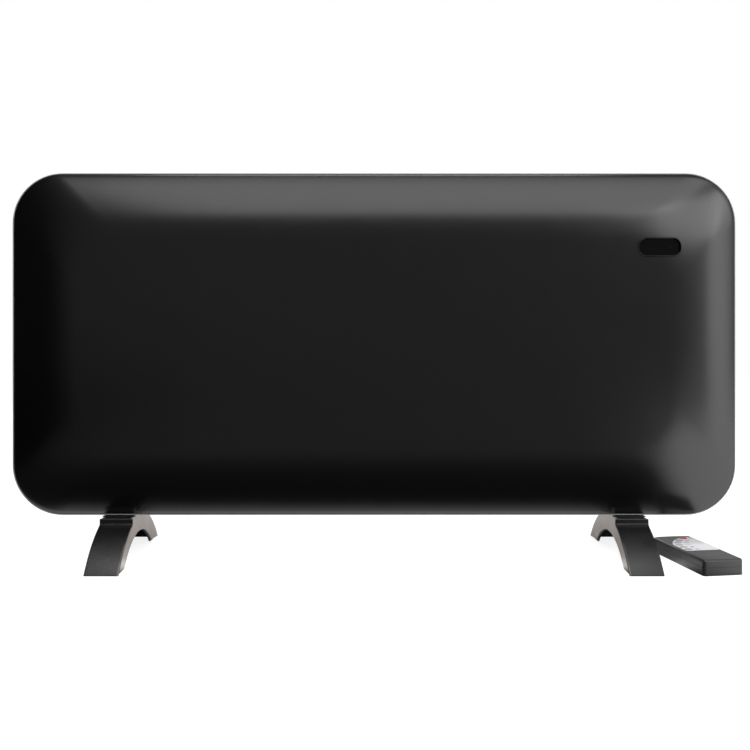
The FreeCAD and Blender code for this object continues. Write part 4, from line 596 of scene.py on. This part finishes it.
def room_outline():
    """The hollow between the side walls, with a bar left in each toe."""
    bar, corner = TOE - TOE_BAR, skin_reach(ROOF)
    shoulder = (bar, skin_height(bar))
    rear = [(bar, -1), shoulder] + arc(shoulder, (corner, ROOF), LEG_RADIUS - SKIN, 12)
    return rear + [(-y, z) for y, z in reversed(rear)]


def on_side(x, points):
    return [(x, y, z) for y, z in points]


def make_feet():
    half = FOOT_WIDTH / 2
    seat = half - CHEEK_RECESS
    moulding = prism("moulding", on_side(-half, foot_outline()), (FOOT_WIDTH, 0, 0))
    soften_front(moulding, half * MM)
    tools = [prism("recess", on_side(seat * hand, recess_outline()), ((CHEEK_RECESS + 1) * hand, 0, 0))
             for hand in (-1, 1)]
    wall = seat - WEB
    tools.append(prism("room", on_side(-wall, room_outline()), (2 * wall, 0, 0)))
    tools.append(box_form("well", (-BOLT_WELL, -BOLT_WELL, ROOF - 1), (BOLT_WELL, BOLT_WELL, BOLT_SEAT)))
    cut(moulding, *tools)
    plates = []
    for hand in (-1, 1):
        outline = rear_edge() + front_edge() + arch_span()[:-1]
        plate = prism("plate", on_side(seat * hand, outline), (CHEEK_SHEET * hand, 0, 0))
        soften(plate, 0.3)
        plates.append(plate)
    cheeks = join("cheeks", plates)
    for side, word in ((-1, "left"), (1, "right")):
        foot = twin(moulding, word + "_foot_moulding", (FOOT_RIGHT * side, 0, 0))
        hand_over(foot, "moulding_black", "heater", ["foot_" + word], angle=15)
        pair = twin(cheeks, word + "_foot_cheeks", (FOOT_RIGHT * side, 0, 0))
        hand_over(pair, "cheek_silver", "heater", ["foot_cheeks_" + word])
    for spare in (moulding, cheeks):
        bpy.data.objects.remove(spare)


def soften_front(piece, half):
    """Breaks the long edges of the front leg with two flats, then the toe's edge and the block's edges."""
    def ahead(e):
        return all(v.co.y < 0.001 * MM - COLLAR * MM for v in e.verts)

    def along_leg(e):
        on_end = all(near(abs(v.co.x), half) and v.co.z < (COLLAR_LOW + 0.001) * MM for v in e.verts)
        rising = not near(e.verts[0].co.z, e.verts[1].co.z)
        return ahead(e) and on_end and rising and max(v.co.y for v in e.verts) > -TOE * MM

    def at_toe(e):
        return all(near(v.co.y, -TOE * MM) and near(v.co.z, FOOT_LOW * MM) for v in e.verts)

    pick(piece, "EDGE", along_leg)
    bpy.ops.mesh.bevel(offset=LEG_BREAK * MM, segments=2, profile=0.5)
    pick(piece, "EDGE", at_toe)
    bpy.ops.mesh.bevel(offset=TOE_BREAK * MM, segments=1)
    pick(piece, "EDGE", lambda e: ahead(e) and min(v.co.z for v in e.verts) > (COLLAR_LOW - 0.5) * MM)
    bpy.ops.mesh.bevel(offset=BLOCK_BREAK * MM, segments=2, profile=0.5)


# Remote


def remote_outline():
    """Square tail and bowed head, with rounded corners, from above."""
    half, low = REMOTE_WIDTH / 2, -REMOTE_LENGTH / 2
    shoulder = REMOTE_LENGTH / 2 - REMOTE_BOW
    corner = REMOTE_CORNER
    span = half - corner
    bow = (span ** 2 + REMOTE_BOW ** 2) / (2 * REMOTE_BOW)
    points = [(-span, low), (span, low)]
    points += arc(points[-1], (half, low + corner), corner, 6)
    points += [(half, shoulder - corner)]
    points += arc(points[-1], (span, shoulder), corner, 6)
    points += arc(points[-1], (-span, shoulder), bow, 12)
    points += arc(points[-1], (-half, shoulder - corner), corner, 6)
    points += [(-half, low + corner)]
    return points + arc(points[-1], (-span, low), corner, 6)[:-1]


def local(u, v):
    """A place on the remote's face, from its left side and its head, as X and Y."""
    return u - REMOTE_WIDTH / 2, REMOTE_LENGTH / 2 - v


def level(points, z):
    return [(x, y, z) for x, y in points]


def label_outline(inset):
    """Straight at its right and foot, with one long curve up its left side."""
    left, waist = local(LABEL_LEFT + inset, LABEL_WAIST)
    right, low = local(LABEL_RIGHT - inset, LABEL_LOW - inset)
    shoulder, top = local(LABEL_SHOULDER, LABEL_TOP + inset)
    points = [(left, low), (right, low), (right, top), (shoulder, top)]
    return points + arc(points[-1], (left, waist), LABEL_CURVE, 16)


def round_corners(piece, places, radius):
    """Rounds the corners of a traced outline that stand at the given places."""
    spots = [Vector(p) * MM for p in places]
    pick(piece, "VERT", lambda v: any((v.co.xy - s).length < 0.01 * MM for s in spots))
    bpy.ops.mesh.bevel(affect="VERTICES", offset=radius * MM, segments=6, profile=0.5)


def label_form(name, inset, low, high):
    piece = trace(name, level(label_outline(inset), low))
    corners = label_outline(inset)
    round_corners(piece, corners[:2], FOOT_ROUND - inset)
    round_corners(piece, corners[2:3], HEAD_ROUND - inset)
    round_corners(piece, corners[3:4], SHOULDER_ROUND)
    bpy.ops.mesh.select_mode(type="FACE")
    bpy.ops.mesh.select_all(action="SELECT")
    push((0, 0, (high - low) * MM))
    outward()
    return piece


def oval(name, place, grow, low, high):
    """An upright oval rod at a key's place."""
    middle = Vector((*local(*place), low)) * MM
    piece = start(name, "circle", vertices=40, radius=MM, fill_type="NGON", location=middle)
    take(piece)
    piece.scale = (KEY_LONG / 2 + grow, KEY_SHORT / 2 + grow, 1)
    bpy.ops.object.transform_apply(location=True, rotation=True, scale=True)
    edit(piece)
    push((0, 0, (high - low) * MM))
    outward()
    return piece


def box_form(name, low, high):
    middle = [(a + b) / 2 * MM for a, b in zip(low, high)]
    piece = start(name, "cube", size=MM, location=middle)
    bpy.ops.transform.resize(value=[b - a for a, b in zip(low, high)], center_override=middle)
    take(piece)
    bpy.ops.object.transform_apply(location=True, rotation=True, scale=True)
    return piece


def lay(piece):
    """Turns a finished remote piece and puts it in its place on the floor."""
    take(piece)
    bpy.ops.object.transform_apply(location=True, rotation=True, scale=True)
    piece.rotation_euler.z = REMOTE_TURN
    piece.location = (REMOTE_PLACE[0] * MM, REMOTE_PLACE[1] * MM, 0)
    return piece


def sail_outline(inset):
    """The shallow panel beside the label, drawn in by an inset towards its own middle."""
    middle = Vector((sum(p[0] for p in SAIL) / len(SAIL), sum(p[1] for p in SAIL) / len(SAIL)))
    points = []
    for place in SAIL:
        spot = Vector(place)
        spot += (middle - spot).normalized() * inset
        points.append(local(spot.x, spot.y))
    return points[::-1]


def make_cover():
    """The upper shell: bevelled rim, label recess, key holes and a grooved panel."""
    cover = prism("remote_cover_shell", level(remote_outline(), REMOTE_SPLIT),
                  (0, 0, REMOTE_HEIGHT - REMOTE_SPLIT))
    top, split = REMOTE_HEIGHT * MM, REMOTE_SPLIT * MM
    pick(cover, "EDGE", lambda e: all(near(v.co.z, top) for v in e.verts))
    bpy.ops.mesh.bevel(offset=COVER_EDGE * MM, segments=3, profile=0.5)
    pick(cover, "EDGE", lambda e: all(near(v.co.z, split) for v in e.verts))
    bpy.ops.mesh.bevel(offset=SPLIT_EDGE * MM, segments=1)
    half = REMOTE_WIDTH / 2 - REMOTE_WALL
    room = box_form("room", (-half, REMOTE_WALL - REMOTE_LENGTH / 2, REMOTE_SPLIT - 1),
                    (half, REMOTE_LENGTH / 2 - REMOTE_BOW - REMOTE_WALL, REMOTE_HEIGHT - REMOTE_WALL))
    recess = label_form("recess", 0.0, REMOTE_HEIGHT - LABEL_DEPTH, REMOTE_HEIGHT + 1)
    groove = prism("groove", level(sail_outline(0), REMOTE_HEIGHT - SAIL_DEPTH), (0, 0, SAIL_DEPTH + 1))
    window = box_form("emitter_hole", (-EMITTER_HALF, REMOTE_LENGTH / 2 - 6, EMITTER_LOW),
                      (EMITTER_HALF, REMOTE_LENGTH / 2 + 1, EMITTER_TOP))
    cut(cover, room, recess, groove, window, *key_rods(KEY_HOLE))
    low, top = REMOTE_HEIGHT - SAIL_DEPTH - ISLAND_SUNK, REMOTE_HEIGHT - ISLAND_SHORT
    island = prism("island", level(sail_outline(SAIL_GAP), low), (0, 0, top - low))
    soften(island, 0.15)
    shell = join("remote_cover_shell", [cover, island])
    hand_over(lay(shell), "remote_black", "remote", ["remote_cover"])


def key_rods(grow):
    """Rods a little wider than the keys, to cut their holes."""
    low, high = REMOTE_HEIGHT - REMOTE_WALL - 0.6, REMOTE_HEIGHT + 1
    return [oval("rod", place, grow, low, high) for place in KEYS.values()]


def make_label():
    label = label_form("label_film", LABEL_FIT, REMOTE_HEIGHT - LABEL_DEPTH, REMOTE_HEIGHT + LABEL_PROUD)
    cut(label, *key_rods(LABEL_HOLE))
    soften(label, 0.08, segments=1)
    hand_over(lay(label), "label_grey", "remote", ["remote_label"])


def make_keys():
    """Domed ovals with a rim under the shell that keeps them in."""
    for name, place in KEYS.items():
        cap = oval(name + "_cap", place, 0, KEY_SEAT, KEY_TOP - KEY_CROWN)
        top = (KEY_TOP - KEY_CROWN) * MM
        pick(cap, "FACE", lambda f: f.normal.z > 0.9 and near(f.calc_center_median().z, top))
        for inward, up in KEY_DOME:
            bpy.ops.mesh.inset(thickness=inward * MM, depth=up * MM)
        rim = oval("rim", place, KEY_RIM, KEY_SEAT, REMOTE_HEIGHT - REMOTE_WALL - KEY_PLAY)
        key = join(name + "_cap", [cap, rim])
        slot = "key_red" if name == "power_button" else "key_grey"
        hand_over(lay(key), slot, name, [name], angle=50, even=False)


def ink(name, points):
    """A printed patch on the label."""
    outline = level([local(u, v) for u, v in points], REMOTE_HEIGHT + LABEL_PROUD)
    return prism(name, outline, (0, 0, INK_SHEET))


def ink_ring(u, v):
    """A printed ring."""
    middle = Vector((*local(u, v), REMOTE_HEIGHT + LABEL_PROUD)) * MM
    piece = start("ring", "circle", vertices=32, radius=INK_RING * MM, fill_type="NGON", location=middle)
    bpy.ops.mesh.inset(thickness=INK_LINE * MM)
    bpy.ops.mesh.delete(type="FACE")
    bpy.ops.mesh.select_mode(type="FACE")
    bpy.ops.mesh.select_all(action="SELECT")
    push((0, 0, INK_SHEET * MM))
    outward()
    return piece


def stroke(u, v, long, wide, turn):
    """A printed stroke, turned by degrees."""
    c, s = math.cos(math.radians(turn)), math.sin(math.radians(turn))
    corners = [(-long, -wide), (long, -wide), (long, wide), (-long, wide)]
    return ink("stroke", [(u + a / 2 * c - b / 2 * s, v + a / 2 * s + b / 2 * c) for a, b in corners])


def make_marks():
    """Plain printed symbols: power, a slanted stroke, a flag, a clock, a cross of rays and a triangle."""
    marks = [ink_ring(u, v) for u, v in MARKS.values()]
    for name, strokes in STROKES.items():
        u, v = MARKS[name]
        marks += [stroke(u + right, v + down, *shape) for right, down, *shape in strokes]
    u, v = MARKS["cooler"]
    marks.append(ink("triangle", [(u + right, v + down) for right, down in TRIANGLE]))
    hand_over(lay(join("label_symbols", marks)), "label_grey", "remote", coat="symbol_ink")


# The rest keeps its CAD form, with its seams closed and its edges softened where they show


def dress_nodes():
    rows = [
        ("rear_casing", "case_shell", "steel_black", "heater", 0.0),
        ("outlet_grille", "outlet_vanes", "moulding_black", "heater", 0.0),
        ("mains_switch", "switch_housing", "moulding_black", "heater", 0.3),
        ("switch_rocker", "rocker_cap", "moulding_black", "switch_rocker", 0.3),
        ("cable_gland", "gland_bush", "moulding_black", "heater", 0.3),
        ("remote_base", "remote_lower_shell", "remote_black", "remote", 0.25),
        ("battery_door", "battery_lid", "remote_black", "battery_door", 0.15),
    ]
    for node, name, slot, body, bevel in rows:
        dress(node, name, slot, body, bevel)


def paint_nodes():
    """Every CAD node gets its finish, also where another piece stands for it."""
    for row in frame["record"]["subparts"]:
        node = frame["nodes"][row["node"]]
        if not node.material_slots:
            node.data.materials.append(finishes[row["material_slot"]])
        for place in node.material_slots:
            place.material = finishes[row["material_slot"]]


# Studio


def soft_step(low, high, level_low, level_high):
    """A Map Range node's settings for a soft step from one level to another."""
    return {"interpolation_type": "SMOOTHSTEP", "From Min": low, "From Max": high,
            "To Min": level_low, "To Max": level_high}


def make_floor():
    """A white floor that keeps the shadow under the heater. In reflections it is white under the heater and
    at the right, dark just ahead of the toes and grey further out."""
    clear()
    bpy.ops.mesh.primitive_plane_add(size=8)
    floor = bpy.context.object
    floor.name = "studio_floor"
    material = bpy.data.materials.new("studio_floor")
    material.use_nodes = True
    tree = material.node_tree
    tree.nodes.clear()
    ray = add(tree, "LightPath")
    split = add(tree, "SeparateXYZ", (), {0: add(tree, "TexCoord").outputs["Object"]})
    across, back = split.outputs["X"], split.outputs["Y"]
    # The white at the right starts along a line that slants with the depth
    slant = add(tree, "Math", {"operation": "MULTIPLY_ADD", 1: 0.26}, {0: back, 2: across}).outputs[0]
    # Soft steps: what each follows, where it starts and ends in metres, and its two levels
    steps = {
        "ahead": (back, -0.8, -0.1, 0.15, 0.03),
        "left_end": (across, -1.1, -0.55, 0.0, 1.0),
        "under": (back, -0.11, -0.06, 0.0, 0.85),
        "right_end": (slant, 0.33, 0.44, 0.0, 1.0),
        "close": (back, -1.9, -1.3, 0.0, 1.0),
        "strip_front": (back, -0.09, -0.055, 0.0, 1.0),
        "strip_back": (back, -0.05, -0.03, 1.0, 0.0),
    }
    zones = {name: add(tree, "MapRange", soft_step(*levels), {"Value": along}).outputs[0]
             for name, (along, *levels) in steps.items()}
    # What is made of two zones, in turn
    pairs = [
        ("ahead", "MULTIPLY", "ahead", "left_end"),
        ("right", "MULTIPLY", "right_end", "close"),
        ("strip", "MULTIPLY", "strip_front", "strip_back"),
        ("table", "MAXIMUM", "ahead", "under"),
        ("table", "MAXIMUM", "table", "right"),
        ("lit", "MAXIMUM", "strip", "right"),
    ]
    for name, how, one, other in pairs:
        zones[name] = add(tree, "Math", {"operation": how}, {0: zones[one], 1: zones[other]}).outputs[0]
    glossy = ray.outputs["Is Glossy Ray"]
    mirrored = add(tree, "Math", {"operation": "MULTIPLY"}, {0: zones["lit"], 1: glossy})
    matt = add(tree, "BsdfDiffuse", (), {"Color": zones["table"]})
    white = add(tree, "Emission", {"Color": (1, 1, 1, 1)}, {"Strength": mirrored.outputs[0]})
    cloth = add(tree, "AddShader", (), {0: matt.outputs[0], 1: white.outputs[0]})
    page = add(tree, "BsdfDiffuse", {"Color": (0.35, 0.35, 0.35, 1)})
    glow = add(tree, "Emission", {"Color": (1, 1, 1, 1), "Strength": 0.85})
    paper = add(tree, "AddShader", (), {0: page.outputs[0], 1: glow.outputs[0]})
    eye = ray.outputs["Is Camera Ray"]
    seen = add(tree, "MixShader", (), {0: eye, 1: cloth.outputs[0], 2: paper.outputs[0]})
    add(tree, "OutputMaterial", (), {"Surface": seen.outputs[0]})
    floor.data.materials.append(material)


def make_world():
    """White to the camera. To the object a room: dim ahead, dark at the left, lighter at the right, above
    and behind."""
    world = bpy.data.worlds.new("studio")
    bpy.context.scene.world = world
    world.use_nodes = True
    tree = world.node_tree
    tree.nodes.clear()
    ray = add(tree, "LightPath")
    split = add(tree, "SeparateXYZ", (), {0: add(tree, "TexCoord").outputs["Generated"]})
    # Soft steps in turn from dark at the left to grey, and to lighter at the right, behind and above
    steps = [
        ("X", -0.62, -0.22, 0.03, 0.27),
        ("X", 0.36, 0.78, 0.0, 0.85),
        ("Y", 0.0, 0.5, 0.0, 0.35),
        ("Z", 0.75, 1.0, 0.0, 0.4),
    ]
    walls = [add(tree, "MapRange", soft_step(*levels), {"Value": split.outputs[axis]}).outputs[0]
             for axis, *levels in steps]
    total = walls[0]
    for wall in walls[1:]:
        total = add(tree, "Math", {"operation": "ADD"}, {0: total, 1: wall}).outputs[0]
    room = add(tree, "Background", {"Color": (1, 1, 1, 1)}, {"Strength": total})
    page = add(tree, "Background", {"Color": (1, 1, 1, 1), "Strength": 1.0})
    eye = ray.outputs["Is Camera Ray"]
    seen = add(tree, "MixShader", (), {0: eye, 1: room.outputs[0], 2: page.outputs[0]})
    add(tree, "OutputWorld", (), {"Surface": seen.outputs[0]})


def lamp(name, place, aim, width, height, power):
    """A soft box that faces the point it is aimed at."""
    light = bpy.data.lights.new(name, "AREA")
    light.shape = "RECTANGLE"
    light.size, light.size_y, light.energy = width, height, power
    box = bpy.data.objects.new(name, light)
    bpy.context.scene.collection.objects.link(box)
    box.location = place
    box.rotation_euler = (Vector(aim) - Vector(place)).to_track_quat("-Z", "Y").to_euler()


def make_lamps():
    """A ceiling panel ahead, a tall box and a high one at the right, a panel overhead and one behind."""
    lamp("ceiling_panel", (0.43, -2.36, 1.95), (0.43, -2.36, 0), 2.86, 2.26, 55)
    lamp("right_box", (2.15, -1.40, 0.6), (0.43, -0.03, 0.27), 0.66, 1.9, 8)
    lamp("right_high", (1.60, -1.97, 1.16), (0.4, -0.04, 0.4), 1.4, 0.8, 12)
    lamp("overhead", (0, -0.35, 1.6), (0, -0.35, 0), 1.1, 0.4, 13)
    lamp("back_fill", (-0.8, 2.4, 1.6), (0, 0, 0.27), 1.6, 1.2, 25)


def make_camera():
    """Level, 1.38 m ahead of the feet's middle. The shift frames the heater as the photograph does."""
    camera = bpy.data.cameras.new("camera")
    camera.lens, camera.sensor_width = 52.2, 36.0
    camera.shift_x, camera.shift_y = 0.0013, -0.0733
    eye = bpy.data.objects.new("camera", camera)
    bpy.context.scene.collection.objects.link(eye)
    eye.location = (0, -1.383, 0.2983)
    eye.rotation_euler = (math.pi / 2, 0, 0)
    bpy.context.scene.camera = eye


make_glass()
make_bead()
make_window()
make_feet()
make_cover()
make_label()
make_keys()
make_marks()
dress_nodes()
paint_nodes()
make_floor()
make_world()
make_lamps()
make_camera()
bpy.context.scene.view_settings.view_transform = "Standard"
